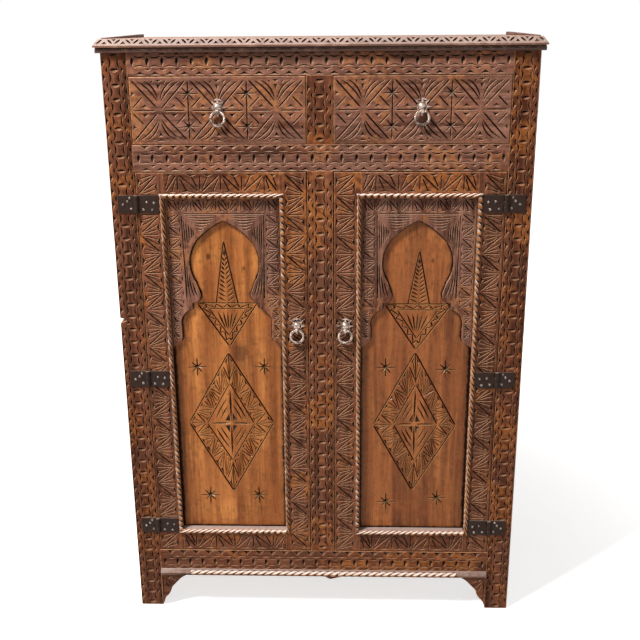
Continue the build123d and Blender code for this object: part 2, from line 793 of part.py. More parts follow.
def make_door(name, side):
    """One door: a tenoned frame, a floating panel, the arch overlay, rope mouldings and irons."""
    mid_x = side * door_mid_x
    edges = {
        "hinge": (side * (hinge_x - door_gap / 2), side * (hinge_x - door_gap / 2 - door_stile_width)),
        "pull": (mid_x - side * door_width / 2, mid_x - side * (door_width / 2 - door_stile_width)),
    }
    inner_x = spread(mid_x, door_open_width)
    rail_spans = ((door_bottom, door_open_low), (door_open_high, door_top))
    pull_place = (side * door_pull_x, front_y, door_pull_z)
    for stile_name, (outer_edge, inner_edge) in edges.items():
        into_stile = 1 if outer_edge > inner_edge else -1
        with BuildPart() as stile:
            add_board((outer_edge, inner_edge), spread(door_mid_y, door_thickness), (door_bottom, door_top))
            for z_low, z_high in rail_spans:
                add_board(
                    (inner_edge, inner_edge + into_stile * tenon_length),
                    spread(door_mid_y, tenon_thickness),
                    (z_low + tenon_shoulder, z_high - tenon_shoulder),
                    Mode.SUBTRACT,
                )
            add_board(
                (inner_edge, inner_edge + into_stile * groove_depth),
                spread(door_panel_y, door_panel_thickness),
                (door_open_low - groove_depth, door_open_high + groove_depth),
                Mode.SUBTRACT,
            )
            if stile_name == "hinge":
                cut_holes(hinge_nail_places(side, -1, door_leaf_nails), nail_shank_radius, nail_shank_length)
            else:
                cut_holes([pull_place], stud_radius + stud_play, door_thickness)
        save(stile, f"door_{name}_{stile_name}_stile")

    with BuildPart() as rails:
        for z_low, z_high in rail_spans:
            add_board(inner_x, spread(door_mid_y, door_thickness), (z_low, z_high))
            add_board(
                (inner_x[0] - tenon_length, inner_x[1] + tenon_length),
                spread(door_mid_y, tenon_thickness),
                (z_low + tenon_shoulder, z_high - tenon_shoulder),
            )
        for z_face, into_rail in ((door_open_low, -1), (door_open_high, 1)):
            add_board(
                inner_x,
                spread(door_panel_y, door_panel_thickness),
                (z_face, z_face + into_rail * groove_depth),
                Mode.SUBTRACT,
            )
    save(rails, f"door_{name}_rails")

    with BuildPart() as panel:
        add_board(
            (inner_x[0] - panel_bite, inner_x[1] + panel_bite),
            spread(door_panel_y, door_panel_thickness),
            (door_open_low - panel_bite, door_open_high + panel_bite),
        )
    save(panel, f"door_{name}_panel")

    with BuildPart() as overlay:
        overlay_plane = front_plane(door_panel_depth - overlay_thickness)
        with BuildSketch(overlay_plane.move(Location((mid_x, 0, 0)))):
            with Locations((0, door_open_high - overlay_drop / 2)):
                Rectangle(door_open_width, overlay_drop)
            with BuildSketch(mode=Mode.SUBTRACT) as hollow:
                draw_arch_half()
                mirror(about=Plane.YZ)
        extrude(amount=-overlay_thickness)
    save(overlay, f"door_{name}_arch_overlay")

    with BuildPart() as rope:
        rope_z = (door_open_low - rope_width / 2, door_open_high + rope_width / 2)
        rope_x = (inner_x[0] - rope_width / 2, inner_x[1] + rope_width / 2)
        for z in rope_z:
            rope_start = (inner_x[0] - rope_width, front_y, z)
            with BuildSketch(Plane(origin=rope_start, x_dir=(0, 1, 0), z_dir=(1, 0, 0))):
                draw_rope_section()
            extrude(amount=door_open_width + 2 * rope_width)
        for x in rope_x:
            rope_start = (x, front_y, door_open_low)
            with BuildSketch(Plane(origin=rope_start, x_dir=(0, 1, 0), z_dir=(0, 0, 1))):
                draw_rope_section()
            extrude(amount=door_open_high - door_open_low)
    save(rope, f"door_{name}_rope_frame")

    with BuildPart() as leaves:
        add_hinge_leaves(side, -1, door_leaf_width, door_knuckles, pin_radius + pin_clearance)
        cut_holes(hinge_nail_places(side, -1, door_leaf_nails), nail_shank_radius, nail_shank_length)
    save(leaves, f"door_{name}_hinge_leaves")
    save(make_nails((side,), -1, door_leaf_nails), f"door_{name}_hinge_nails")
    save(make_pull_mount(side * door_pull_x, door_pull_z, door_thickness), f"door_{name}_pull_mount")
    save(make_pull_ring(side * door_pull_x, door_pull_z), f"door_{name}_pull_ring")


def draw_rope_section():
    """Half-round section that stands out from the face of the door's frame."""
    with Locations((-rope_foot / 2, 0)):
        Rectangle(rope_foot, rope_width)
    with BuildLine() as outline:
        ThreePointArc(
            (-rope_foot, rope_width / 2),
            (-rope_foot - rope_width / 2, 0),
            (-rope_foot, -rope_width / 2),
        )
        Line((-rope_foot, -rope_width / 2), (-rope_foot, rope_width / 2))
    make_face(outline.edges())


for name, side in SIDES:
    make_door(name, side)

# ---------------------------------------------------------------- drawers


def make_drawer(name, side):
    """One drawer: an inset front, two sides, a back, a bottom board and its ring pull."""
    near = side * drawer_near_x
    far = side * drawer_far_x
    mid_x = (near + far) / 2
    side_x = {"near": near + side * drawer_side_thickness, "far": far - side * drawer_side_thickness}
    bottom_ends = (drawer_floor_z, drawer_floor_z + drawer_bottom_thickness)
    groove_x = (side_x["near"] - side * drawer_groove, side_x["far"] + side * drawer_groove)
    groove_front_y = drawer_box_front_y - drawer_groove
    with BuildPart() as front:
        add_board((near, far), (front_y, drawer_box_front_y), (drawer_bottom_z, drawer_top_z))
        add_board(groove_x, (groove_front_y, drawer_box_front_y), bottom_ends, Mode.SUBTRACT)
        cut_holes([(mid_x, front_y, drawer_pull_z)], stud_radius + stud_play, drawer_front_thickness)
    save(front, f"drawer_{name}_front")

    with BuildPart() as box_sides:
        for x_ends in ((near, side_x["near"]), (side_x["far"], far)):
            add_board(x_ends, (drawer_box_front_y, drawer_box_back_y), (drawer_bottom_z, drawer_side_top_z))
        add_board(groove_x, (drawer_box_front_y, drawer_box_back_y), bottom_ends, Mode.SUBTRACT)
    save(box_sides, f"drawer_{name}_sides")

    with BuildPart() as box_back:
        add_board(
            (side_x["near"], side_x["far"]),
            (drawer_box_back_y - drawer_side_thickness, drawer_box_back_y),
            (bottom_ends[1], drawer_side_top_z),
        )
    save(box_back, f"drawer_{name}_back")

    with BuildPart() as box_bottom:
        add_board(groove_x, (groove_front_y, drawer_box_back_y), bottom_ends)
    save(box_bottom, f"drawer_{name}_bottom")
    save(make_pull_mount(mid_x, drawer_pull_z, drawer_front_thickness), f"drawer_{name}_pull_mount")
    save(make_pull_ring(mid_x, drawer_pull_z), f"drawer_{name}_pull_ring")


for name, side in SIDES:
    make_drawer(name, side)
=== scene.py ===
# %% [markdown]
# # A chip-carved Moroccan cabinet
# The cabinet is a wooden frame with two drawers and two doors, cut all over with small
# triangular chips. The solid frame comes from CAD. This lesson dresses it: it makes the carved
# faces, the twisted mouldings, the forged hinges and the ring pulls, and gives each a finish.

import math
import random

import bmesh
import bpy
import numpy as np
from mathutils import Matrix, Vector, noise
from mathutils.geometry import delaunay_2d_cdt


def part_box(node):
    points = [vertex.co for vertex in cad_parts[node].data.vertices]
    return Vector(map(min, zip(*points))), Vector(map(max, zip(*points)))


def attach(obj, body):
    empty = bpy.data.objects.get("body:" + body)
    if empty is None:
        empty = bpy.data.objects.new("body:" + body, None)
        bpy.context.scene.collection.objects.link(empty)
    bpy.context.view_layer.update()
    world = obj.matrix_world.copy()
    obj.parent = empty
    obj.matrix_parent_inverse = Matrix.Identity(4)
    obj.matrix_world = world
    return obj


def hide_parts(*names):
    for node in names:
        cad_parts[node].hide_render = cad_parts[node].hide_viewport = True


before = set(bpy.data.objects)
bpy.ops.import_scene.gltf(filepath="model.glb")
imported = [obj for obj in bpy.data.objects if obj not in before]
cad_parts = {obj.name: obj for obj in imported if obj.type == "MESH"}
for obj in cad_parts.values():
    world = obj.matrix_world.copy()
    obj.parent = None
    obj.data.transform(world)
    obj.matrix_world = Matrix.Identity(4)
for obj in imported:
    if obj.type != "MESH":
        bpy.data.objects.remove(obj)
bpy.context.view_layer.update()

MM = 0.001
SIDES = (("left", -1), ("right", 1))


def box_mm(node):
    """Lowest and highest corner of a CAD node, in millimetres."""
    low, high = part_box(node)
    return low / MM, high / MM


# %% [markdown]
# ## Building shader trees in a script
# A material is a tree of nodes. Writing each link out takes many lines, so two small helpers
# do it: one adds a node and sets its plain values, the other joins what it is given.

# %% Shader helpers


def add_node(tree, kind, settings=None, **inputs):
    """Adds a node; inputs are plain values or the sockets of other nodes, by socket name."""
    node = tree.nodes.new(kind)
    for key, value in (settings or {}).items():
        setattr(node, key, value)
    for key, value in inputs.items():
        socket = node.inputs[int(key[1:])] if key[0] == "_" else node.inputs[key.replace("_", " ")]
        if isinstance(value, bpy.types.NodeSocket):
            tree.links.new(value, socket)
        else:
            socket.default_value = value
    return node


def math_node(tree, operation, *values, clamp=False):
    """One Math node, returning its result."""
    inputs = {f"_{i}": value for i, value in enumerate(values)}
    return add_node(tree, "ShaderNodeMath", {"operation": operation, "use_clamp": clamp}, **inputs).outputs[0]


def ramp(tree, value, low, high):
    """A smooth step of a value from 0 at low to 1 at high."""
    node = add_node(
        tree, "ShaderNodeMapRange", {"interpolation_type": "SMOOTHSTEP"},
        Value=value, From_Min=low, From_Max=high,
    )
    return node.outputs["Result"]


def blend_colours(tree, amount, first, second, mode="MIX"):
    """Mixes two colours by an amount from 0 to 1."""
    node = tree.nodes.new("ShaderNodeMix")
    node.data_type = "RGBA"
    node.blend_type = mode
    for socket, value in ((node.inputs[0], amount), (node.inputs[6], first), (node.inputs[7], second)):
        if isinstance(value, bpy.types.NodeSocket):
            tree.links.new(value, socket)
        elif isinstance(value, (int, float)):
            socket.default_value = value
        else:
            socket.default_value = (*value[:3], 1.0)
    return node.outputs[2]


def srgb(red, green, blue):
    """A colour given in 0 to 255 screen values, made linear."""
    shares = [c / 255 for c in (red, green, blue)]
    return tuple(((c + 0.055) / 1.055) ** 2.4 if c > 10 / 255 else c / 12.92 for c in shares)


def start_group(name, inputs, outputs, kind="ShaderNodeTree"):
    """An empty node group with named sockets."""
    group = bpy.data.node_groups.new(name, kind)
    for label, socket in inputs:
        group.interface.new_socket(label, in_out="INPUT", socket_type="NodeSocket" + socket)
    for label, socket in outputs:
        group.interface.new_socket(label, in_out="OUTPUT", socket_type="NodeSocket" + socket)
    return group, group.nodes.new("NodeGroupInput"), group.nodes.new("NodeGroupOutput")


def use_group(tree, group, **inputs):
    """Places a group in a material."""
    node = tree.nodes.new("ShaderNodeGroup")
    node.node_tree = group
    for key, value in inputs.items():
        socket = node.inputs[key.replace("_", " ")]
        if isinstance(value, bpy.types.NodeSocket):
            tree.links.new(value, socket)
        else:
            socket.default_value = value
    return node


# %% [markdown]
# ## The figure of the wood
# Wood is a bundle of long tubes, so its marks are noise stretched along the board. Each board
# carries a `grain` attribute: its own coordinates, turned so that x runs along the board and
# shifted by a random step, so no two boards repeat. The group turns them into long streaks,
# fine pores and large clouds of stain.

# %% Wood figure group


def make_wood_figure():
    tree, start, end = start_group(
        "wood_figure",
        (("Grain", "Vector"), ("Coarseness", "Float")),
        (("Streak", "Float"), ("Pore", "Float"), ("Cloud", "Float"), ("Speck", "Float")),
    )
    grain = start.outputs["Grain"]
    wander = add_node(tree, "ShaderNodeTexNoise", Vector=grain, Scale=5.0, Detail=2.0)
    bend = add_node(
        tree, "ShaderNodeVectorMath", {"operation": "MULTIPLY_ADD"},
        _0=wander.outputs["Color"], _1=(0.0, 0.012, 0.012), _2=grain,
    ).outputs[0]
    scaled = add_node(
        tree, "ShaderNodeVectorMath", {"operation": "SCALE"}, _0=bend, Scale=start.outputs["Coarseness"]
    ).outputs[0]
    streak_space = add_node(tree, "ShaderNodeMapping", Vector=scaled, Scale=(3.0, 85.0, 85.0)).outputs[0]
    streak = add_node(tree, "ShaderNodeTexNoise", Vector=streak_space, Scale=1.0, Detail=6.0, Roughness=0.62)
    pore_space = add_node(tree, "ShaderNodeMapping", Vector=scaled, Scale=(60.0, 1500.0, 1500.0)).outputs[0]
    pore = add_node(tree, "ShaderNodeTexNoise", Vector=pore_space, Scale=1.0, Detail=2.0)
    cloud = add_node(tree, "ShaderNodeTexNoise", Vector=grain, Scale=8.0, Detail=4.0, Roughness=0.6)
    speck = add_node(tree, "ShaderNodeTexNoise", Vector=grain, Scale=95.0, Detail=3.0)
    tree.links.new(ramp(tree, streak.outputs["Fac"], 0.3, 0.72), end.inputs["Streak"])
    tree.links.new(ramp(tree, pore.outputs["Fac"], 0.52, 0.72), end.inputs["Pore"])
    tree.links.new(ramp(tree, cloud.outputs["Fac"], 0.36, 0.64), end.inputs["Cloud"])
    tree.links.new(ramp(tree, speck.outputs["Fac"], 0.35, 0.68), end.inputs["Speck"])
    return tree


wood_figure = make_wood_figure()

# %% [markdown]
# ## Wear, grime, dust and painted light of the carving
# Stain and wax collect at the bottom of each chip, and the same darkening paints the shade that
# falls into the cuts. Hands rub the high places back to the colour of the bare wood. The pale rim
# beside a cut and the pale sharp corners are partly wear and partly a painted highlight. Pale dust
# lies on whatever faces up, and the same mask paints the sheen and the lit walls of the cuts. Each
# mesh carries a `groove` attribute, 0 on the face, 1 in a deep cut and -1 on a sharp corner, and
# an `upward` attribute, 1 where a surface faces the way that the dust and the painted sheen come
# from. The group turns them into five masks, broken up by noise so that none is even.

# %% Wear, grime, dust and painted light group


def make_carved_wear_and_light():
    tree, start, end = start_group(
        "carved_wear",
        (("Groove", "Float"), ("Upward", "Float"), ("Cloud", "Float"), ("Speck", "Float"),
         ("Wear", "Float"), ("Grime", "Float"), ("Reach", "Float"), ("Dust", "Float"), ("Sunk", "Float")),
        (("Worn", "Float"), ("Dirty", "Float"), ("Rim", "Float"), ("Edge", "Float"), ("Dusty", "Float")),
    )
    given = start.outputs
    groove, cloud, speck = given["Groove"], given["Cloud"], given["Speck"]
    high = math_node(tree, "SUBTRACT", 1.0, ramp(tree, groove, 0.0, 0.5))
    patchy = math_node(tree, "MULTIPLY", cloud, math_node(tree, "MULTIPLY_ADD", speck, 0.5, 0.5))
    worn = math_node(tree, "MULTIPLY", high, ramp(tree, patchy, 0.35, 1.0))
    tree.links.new(math_node(tree, "MULTIPLY", worn, given["Wear"], clamp=True), end.inputs["Worn"])
    # the darkening of deep cuts: dark wax, and the painted shade that falls into them
    broken = math_node(tree, "MULTIPLY_ADD", speck, 0.15, groove)
    deep = ramp(tree, math_node(tree, "SUBTRACT", broken, given["Reach"]), 0.0, 0.35)
    tree.links.new(math_node(tree, "MULTIPLY", deep, given["Grime"], clamp=True), end.inputs["Dirty"])
    # the pale rim beside a cut: partly wear, partly a painted highlight
    shallow = math_node(tree, "SUBTRACT", 1.0, ramp(tree, groove, 0.3, 0.7))
    lip = math_node(tree, "MULTIPLY", ramp(tree, groove, 0.0, 0.12), shallow)
    broken_lip = math_node(tree, "MULTIPLY", lip, math_node(tree, "MULTIPLY_ADD", speck, 0.6, 0.4))
    tree.links.new(broken_lip, end.inputs["Rim"])
    # the pale sharp corners: partly wear, partly a painted highlight
    edge = ramp(tree, math_node(tree, "MULTIPLY", groove, -1.0), 0.05, 0.7)
    broken_edge = math_node(tree, "MULTIPLY", edge, math_node(tree, "MULTIPLY_ADD", speck, 0.7, 0.3))
    tree.links.new(broken_edge, end.inputs["Edge"])
    # pale dust on faces turned the way it comes from; the same mask paints the sheen and the lit walls of cuts
    lying = ramp(tree, math_node(tree, "MULTIPLY_ADD", speck, 0.25, given["Upward"]), 0.3, 0.95)
    lost = math_node(tree, "MULTIPLY", deep, math_node(tree, "SUBTRACT", 1.0, given["Sunk"]))
    lying = math_node(tree, "MULTIPLY", lying, math_node(tree, "SUBTRACT", 1.0, lost))
    tree.links.new(math_node(tree, "MULTIPLY", lying, given["Dust"], clamp=True), end.inputs["Dusty"])
    return tree


carved_wear = make_carved_wear_and_light()

# %% [markdown]
# ## Stained and varnished wood
# One function makes every wood of the cabinet. It layers the colours as the polisher did: stain
# that soaks unevenly into the figure, rubbed places, dark wax in the cuts that also paints their
# shade, pale rims and corners that are partly a painted highlight, and dust on top that also
# paints the sheen. Old varnish has gone dull on the carved boards. The panels and the mouldings
# keep a thin gloss coat.

# %% Wood materials


def make_wood(name, light, dark, red, rubbed, grime_and_shade_colour, wear, dust=srgb(176, 132, 102), grime=0.97,
              reach=0.12, dust_and_sheen_amount=0.5, sunk=1.0, roughness=0.5, coat=0.0, shine=0.04, coarseness=1.0,
              red_amount=0.45, mottle=0.35, bump=0.25, lip=0.35, knots=()):
    """A stained wood from its colours and its amounts of wear, grime and dust, where the grime also paints
    shade in the cuts and the dust also paints sheen.

    Grime, with its painted shade, starts at the groove value reach. Sunk is the share of the dust and painted
    sheen that deep cuts keep.
    Each knot is a place in metres, a size and a strength.
    """
    # the pale colours of a cut's rim and of a sharp corner: partly wear, partly a painted highlight
    lip_wear_and_highlight_colour, edge_wear_and_highlight_colour, edge_amount = srgb(176, 128, 98), srgb(190, 134, 84), 0.85
    material = bpy.data.materials.new(name)
    material.use_nodes = True
    tree = material.node_tree
    shader = tree.nodes["Principled BSDF"]
    grain = add_node(tree, "ShaderNodeAttribute", {"attribute_name": "grain"}).outputs["Vector"]
    groove = add_node(tree, "ShaderNodeAttribute", {"attribute_name": "groove"}).outputs["Fac"]
    upward = add_node(tree, "ShaderNodeAttribute", {"attribute_name": "upward"}).outputs["Fac"]
    figure = use_group(tree, wood_figure, Grain=grain, Coarseness=coarseness)
    masks = use_group(
        tree, carved_wear, Groove=groove, Upward=upward, Cloud=figure.outputs["Cloud"],
        Speck=figure.outputs["Speck"], Wear=wear, Grime=grime, Reach=reach, Dust=dust_and_sheen_amount, Sunk=sunk,
    )
    stain = blend_colours(tree, figure.outputs["Streak"], dark, light)
    reddened = blend_colours(
        tree, math_node(tree, "MULTIPLY", figure.outputs["Cloud"], red_amount), stain, red
    )
    pored = blend_colours(
        tree, math_node(tree, "MULTIPLY", figure.outputs["Pore"], 0.45), reddened, grime_and_shade_colour
    )
    knotted = pored
    for place, size, strength in knots:
        here = add_node(tree, "ShaderNodeTexCoord").outputs["Object"]
        spot = add_node(tree, "ShaderNodeVectorMath", {"operation": "SUBTRACT"}, _0=here, _1=place).outputs[0]
        squeezed = add_node(tree, "ShaderNodeMapping", Vector=spot, Scale=(1.0, 1.0, 0.7)).outputs[0]
        distance = add_node(tree, "ShaderNodeVectorMath", {"operation": "LENGTH"}, _0=squeezed).outputs["Value"]
        ring = math_node(tree, "MULTIPLY_ADD", figure.outputs["Speck"], size * 0.5, distance)
        mask = math_node(tree, "SUBTRACT", 1.0, ramp(tree, ring, size * 0.7, size * 1.6))
        knotted = blend_colours(tree, math_node(tree, "MULTIPLY", mask, strength), knotted, grime_and_shade_colour)
    mottled = blend_colours(
        tree, math_node(tree, "MULTIPLY", figure.outputs["Speck"], mottle), knotted,
        blend_colours(tree, 1.0, knotted, (1.8, 1.75, 1.7), "MULTIPLY"),
    )
    worn = blend_colours(tree, masks.outputs["Worn"], mottled, rubbed)
    rim = math_node(tree, "MULTIPLY", masks.outputs["Rim"], lip)
    lipped = blend_colours(tree, rim, worn, lip_wear_and_highlight_colour)
    edge = math_node(tree, "MULTIPLY", masks.outputs["Edge"], edge_amount)
    edged = blend_colours(tree, edge, lipped, edge_wear_and_highlight_colour)
    # dark wax in the cuts, which also paints the shade that falls into them
    waxed_and_shaded = blend_colours(tree, masks.outputs["Dirty"], edged, grime_and_shade_colour)
    # then dust on upward faces, which also paints their sheen and the lit walls of cuts
    final = blend_colours(tree, masks.outputs["Dusty"], waxed_and_shaded, dust)
    tree.links.new(final, shader.inputs["Base Color"])
    dull = math_node(tree, "MULTIPLY_ADD", masks.outputs["Dirty"], 0.3, roughness)
    uneven = math_node(tree, "MULTIPLY_ADD", figure.outputs["Speck"], -0.12, dull)
    tree.links.new(uneven, shader.inputs["Roughness"])
    height = math_node(
        tree, "MULTIPLY_ADD", figure.outputs["Pore"], -0.6,
        math_node(tree, "MULTIPLY_ADD", figure.outputs["Speck"], 0.5, figure.outputs["Streak"]),
    )
    relief = add_node(tree, "ShaderNodeBump", Height=height, Strength=bump, Distance=0.0006)
    tree.links.new(relief.outputs["Normal"], shader.inputs["Normal"])
    shader.inputs["Specular IOR Level"].default_value = shine
    shader.inputs["Coat Weight"].default_value = coat
    shader.inputs["Coat Roughness"].default_value = 0.22
    return material


# the doors' frames, the lower rail, the upright between the doors and the brackets
frame_wood = make_wood(
    "frame_wood", light=srgb(112, 71, 52), dark=srgb(50, 28, 19), red=srgb(92, 43, 22),
    rubbed=srgb(166, 103, 47), grime_and_shade_colour=srgb(14, 6, 3), wear=0.44,
)
# the front posts and the upright between the drawers, darker from handling
post_wood = make_wood(
    "post_wood", light=srgb(101, 62, 44), dark=srgb(44, 24, 16), red=srgb(86, 40, 21),
    rubbed=srgb(158, 96, 42), grime_and_shade_colour=srgb(13, 6, 3), dust=srgb(168, 122, 92), wear=0.42,
)
# the upper rails, the drawer fronts and the arch boards, bleached a little
faded_wood = make_wood(
    "faded_wood", light=srgb(128, 90, 75), dark=srgb(56, 34, 26), red=srgb(96, 52, 36),
    rubbed=srgb(166, 110, 60), grime_and_shade_colour=srgb(14, 6, 4), dust=srgb(180, 142, 118), wear=0.4,
)
# the uncarved boards of the sides and the back
plain_wood = make_wood(
    "plain_wood", light=srgb(108, 70, 52), dark=srgb(54, 31, 21), red=srgb(88, 42, 24),
    rubbed=srgb(140, 88, 48), grime_and_shade_colour=srgb(16, 7, 4), wear=0.12, mottle=0.12, coarseness=0.8,
)
panel_settings = dict(
    wear=0.3, reach=0.02, roughness=0.4, coarseness=0.6, bump=0.12, coat=0.1, mottle=0.12,
    lip=0.2, dust_and_sheen_amount=0.35, dust=srgb(196, 146, 96), grime=1.0,
)
panel_woods = {
    "left": make_wood(
        "panel_wood_left", light=srgb(184, 118, 62), dark=srgb(112, 62, 28), red=srgb(122, 58, 26),
        rubbed=srgb(186, 124, 68), grime_and_shade_colour=srgb(34, 14, 7),
        knots=(((-0.2213, -0.194, 0.7893), 0.0045, 0.75), ((-0.1531, -0.194, 0.765), 0.003, 0.6),
               ((-0.1645, -0.194, 0.587), 0.0145, 0.55)), **panel_settings,
    ),
    # the right panel is darker than the left: painted shade, as the light falls off to the right
    "right": make_wood(
        "panel_wood_right", light=srgb(166, 102, 56), dark=srgb(94, 54, 30), red=srgb(106, 48, 24),
        rubbed=srgb(166, 108, 62), grime_and_shade_colour=srgb(30, 13, 7),
        knots=(((0.219, -0.194, 0.781), 0.003, 0.6),), **panel_settings,
    ),
}
# the mouldings that stand proud: twisted ropes, pale ledges and the edge of the top, the bead;
# their strong pale dust on upward faces also paints the sheen there
rope_wood = make_wood(
    "rope_wood", light=srgb(166, 114, 70), dark=srgb(110, 66, 38), red=srgb(122, 64, 34),
    rubbed=srgb(190, 140, 92), grime_and_shade_colour=srgb(26, 12, 7), dust=srgb(226, 202, 188), wear=0.5, reach=0.2,
    dust_and_sheen_amount=1.0, roughness=0.4, coat=0.05, shine=0.08, mottle=0.15, lip=0.0, sunk=0.7,
)
edge_wood = make_wood(
    "edge_wood", light=srgb(124, 92, 76), dark=srgb(92, 62, 50), red=srgb(110, 68, 50),
    rubbed=srgb(168, 138, 120), grime_and_shade_colour=srgb(26, 14, 9), dust=srgb(178, 160, 152), wear=0.5, reach=0.02,
    dust_and_sheen_amount=0.7, roughness=0.4, coat=0.1, shine=0.12, red_amount=0.3, mottle=0.12, lip=0.0, sunk=0.0,
)
# the bead's dark colour is a painted shade under the top's overhang, and its dust paints a highlight along its
# round top
bead_wood = make_wood(
    "bead_wood", light=srgb(84, 50, 37), dark=srgb(40, 22, 15), red=srgb(62, 32, 22),
    rubbed=srgb(140, 104, 84), grime_and_shade_colour=srgb(14, 7, 5), dust=srgb(190, 160, 140), wear=0.2,
    dust_and_sheen_amount=0.6, roughness=0.3, coat=0.18, shine=0.12, red_amount=0.3, mottle=0.15, lip=0.0,
)
# the upper face of the top board, with little dust and so little painted sheen
top_wood = make_wood(
    "top_wood", light=srgb(160, 124, 102), dark=srgb(128, 92, 72), red=srgb(128, 76, 54),
    rubbed=srgb(166, 128, 104), grime_and_shade_colour=srgb(60, 38, 28), dust=srgb(168, 140, 122), wear=0.4, reach=0.1,
    dust_and_sheen_amount=0.15, shine=0.06, red_amount=0.3, mottle=0.12, lip=0.0,
)
# unstained boards inside
inner_wood = make_wood(
    "inner_wood", light=srgb(176, 140, 98), dark=srgb(146, 108, 70), red=srgb(150, 104, 66),
    rubbed=srgb(196, 164, 122), grime_and_shade_colour=srgb(88, 60, 38), wear=0.12, grime=0.5, roughness=0.68,
    coarseness=0.7, mottle=0.1,
)
print("woods made:", [m.name for m in bpy.data.materials if m.name.count("wood")])

# %% [markdown]
# ## Cutting chips
# A chip-carver makes three cuts: a pit that slopes to one deep point, a leaf whose walls meet
# in a curved valley, and a straight V groove. Each is stored here as a few triangles of
# (u, v, depth) in millimetres, where u and v lie on the board and depth goes into it. Sculpting
# or a displacement map would need millions of faces for edges this crisp.

# %% The three cuts


def pit(corners, deepest, depth):
    """A pyramid-shaped chip: sloping walls from each side down to the deepest point."""
    floor = (*deepest, depth)
    rim = [(*corner, 0.0) for corner in corners]
    return [(rim[i - 1], rim[i], floor) for i in range(len(rim))]


def sweep_cut(axis, widths, depths, lean=0.0):
    """A V cut along an axis: walls run from both edges down to a valley line."""
    axis = [Vector(point) for point in axis]
    left, floor, right = [], [], []
    for i, point in enumerate(axis):
        along = (axis[min(i + 1, len(axis) - 1)] - axis[max(i - 1, 0)]).normalized()
        across = Vector((-along.y, along.x)) * widths[i] / 2
        left.append((*(point + across), 0.0))
        right.append((*(point - across), 0.0))
        floor.append((*(point + across * lean), depths[i]))
    cuts = []
    for i in range(len(axis) - 1):
        for edge in (left, right):
            if widths[i] > 0:
                cuts.append((edge[i], floor[i], floor[i + 1]))
            if widths[i + 1] > 0:
                cuts.append((edge[i], floor[i + 1], edge[i + 1]))
    return cuts


def leaf(start, end, width, depth, bow=0.0, lean=0.0, steps=6, point=0.8):
    """A pointed leaf from start to end, bowed sideways by a distance."""
    start, end = Vector(start), Vector(end)
    side = Vector((start.y - end.y, end.x - start.x)).normalized()
    axis, widths, depths = [], [], []
    for i in range(steps + 1):
        t = i / steps
        swell = math.sin(math.pi * t) ** point if 0 < i < steps else 0.0
        axis.append(start.lerp(end, t) + side * bow * 4 * t * (1 - t))
        widths.append(width * swell)
        depths.append(depth * swell)
    return sweep_cut(axis, widths, depths, lean)


def groove(start, end, width, depth, taper=5.0):
    """A straight V groove whose two ends rise to the face."""
    start, end = Vector(start), Vector(end)
    length = (end - start).length
    run = min(taper / length, 0.45)
    axis = [start.lerp(end, t) for t in (0, run, 1 - run, 1)]
    return sweep_cut(axis, (0, width, width, 0), (0, depth, depth, 0))


def moved(cuts, to_place):
    """The same cuts, with each (u, v) sent through a function."""
    return [tuple((*to_place(u, v), depth) for u, v, depth in cut) for cut in cuts]


# %% [markdown]
# ## From cuts to a board
# The face of a board is one flat net of triangles. A constrained Delaunay triangulation keeps
# every edge of every cut and fills the flat wood between them with as few triangles as it can.
# Each point of the net is then pushed in by the deepest cut that covers it. The rim gets a
# small uneven bevel, as old corners have, coloured pale as partly wear and partly a painted
# highlight, and walls run back to the full thickness. A wall that meets another board goes dark
# just behind the bevel, a painted shade of the seam.

# %% The carved board


def cut_depths(points, cuts):
    """Depth at each point: the deepest of the cuts that cover it."""
    cell = 8.0
    grid = {}
    for index, cut in enumerate(cuts):
        us, vs = [p[0] for p in cut], [p[1] for p in cut]
        for i in range(math.floor(min(us) / cell), math.floor(max(us) / cell) + 1):
            for j in range(math.floor(min(vs) / cell), math.floor(max(vs) / cell) + 1):
                grid.setdefault((i, j), []).append(index)
    depths = []
    for u, v in points:
        deepest = 0.0
        for index in grid.get((math.floor(u / cell), math.floor(v / cell)), ()):
            (ua, va, da), (ub, vb, db), (uc, vc, dc) = cuts[index]
            area = (ub - ua) * (vc - va) - (uc - ua) * (vb - va)
            if abs(area) < 1e-6:
                continue
            b = ((u - ua) * (vc - va) - (uc - ua) * (v - va)) / area
            c = ((ub - ua) * (v - va) - (u - ua) * (vb - va)) / area
            if b > -1e-4 and c > -1e-4 and b + c < 1.0001:
                deepest = max(deepest, da + b * (db - da) + c * (dc - da))
        depths.append(deepest)
    return depths


def walk_outline(corners, step):
    """Points at about equal steps along a closed outline, with the inward direction at each."""
    count = len(corners)
    points, inward = [], []
    for i in range(count):
        a, b = Vector(corners[i]), Vector(corners[(i + 1) % count])
        before = (a - Vector(corners[i - 1])).normalized()
        after = (b - a).normalized()
        normal_before, normal_after = Vector((-before.y, before.x)), Vector((-after.y, after.x))
        corner = normal_before + normal_after
        points.append(a)
        inward.append(corner / max(corner.dot(normal_after), 0.35))
        pieces = max(1, round((b - a).length / step))
        for k in range(1, pieces):
            points.append(a.lerp(b, k / pieces))
            inward.append(normal_after)
    return points, inward


def is_inside(corners, point):
    """True if a point is inside a closed outline."""
    u, v = point
    inside = False
    for (ua, va), (ub, vb) in zip(corners, corners[1:] + corners[:1]):
        if (va > v) != (vb > v) and u < ua + (ub - ua) * (v - va) / (vb - va):
            inside = not inside
    return inside


# the painted shade on a wall that meets another board
WALL_SHADE_WIDTH = 1.6  # how far behind the bevel a wall is darkest, in mm


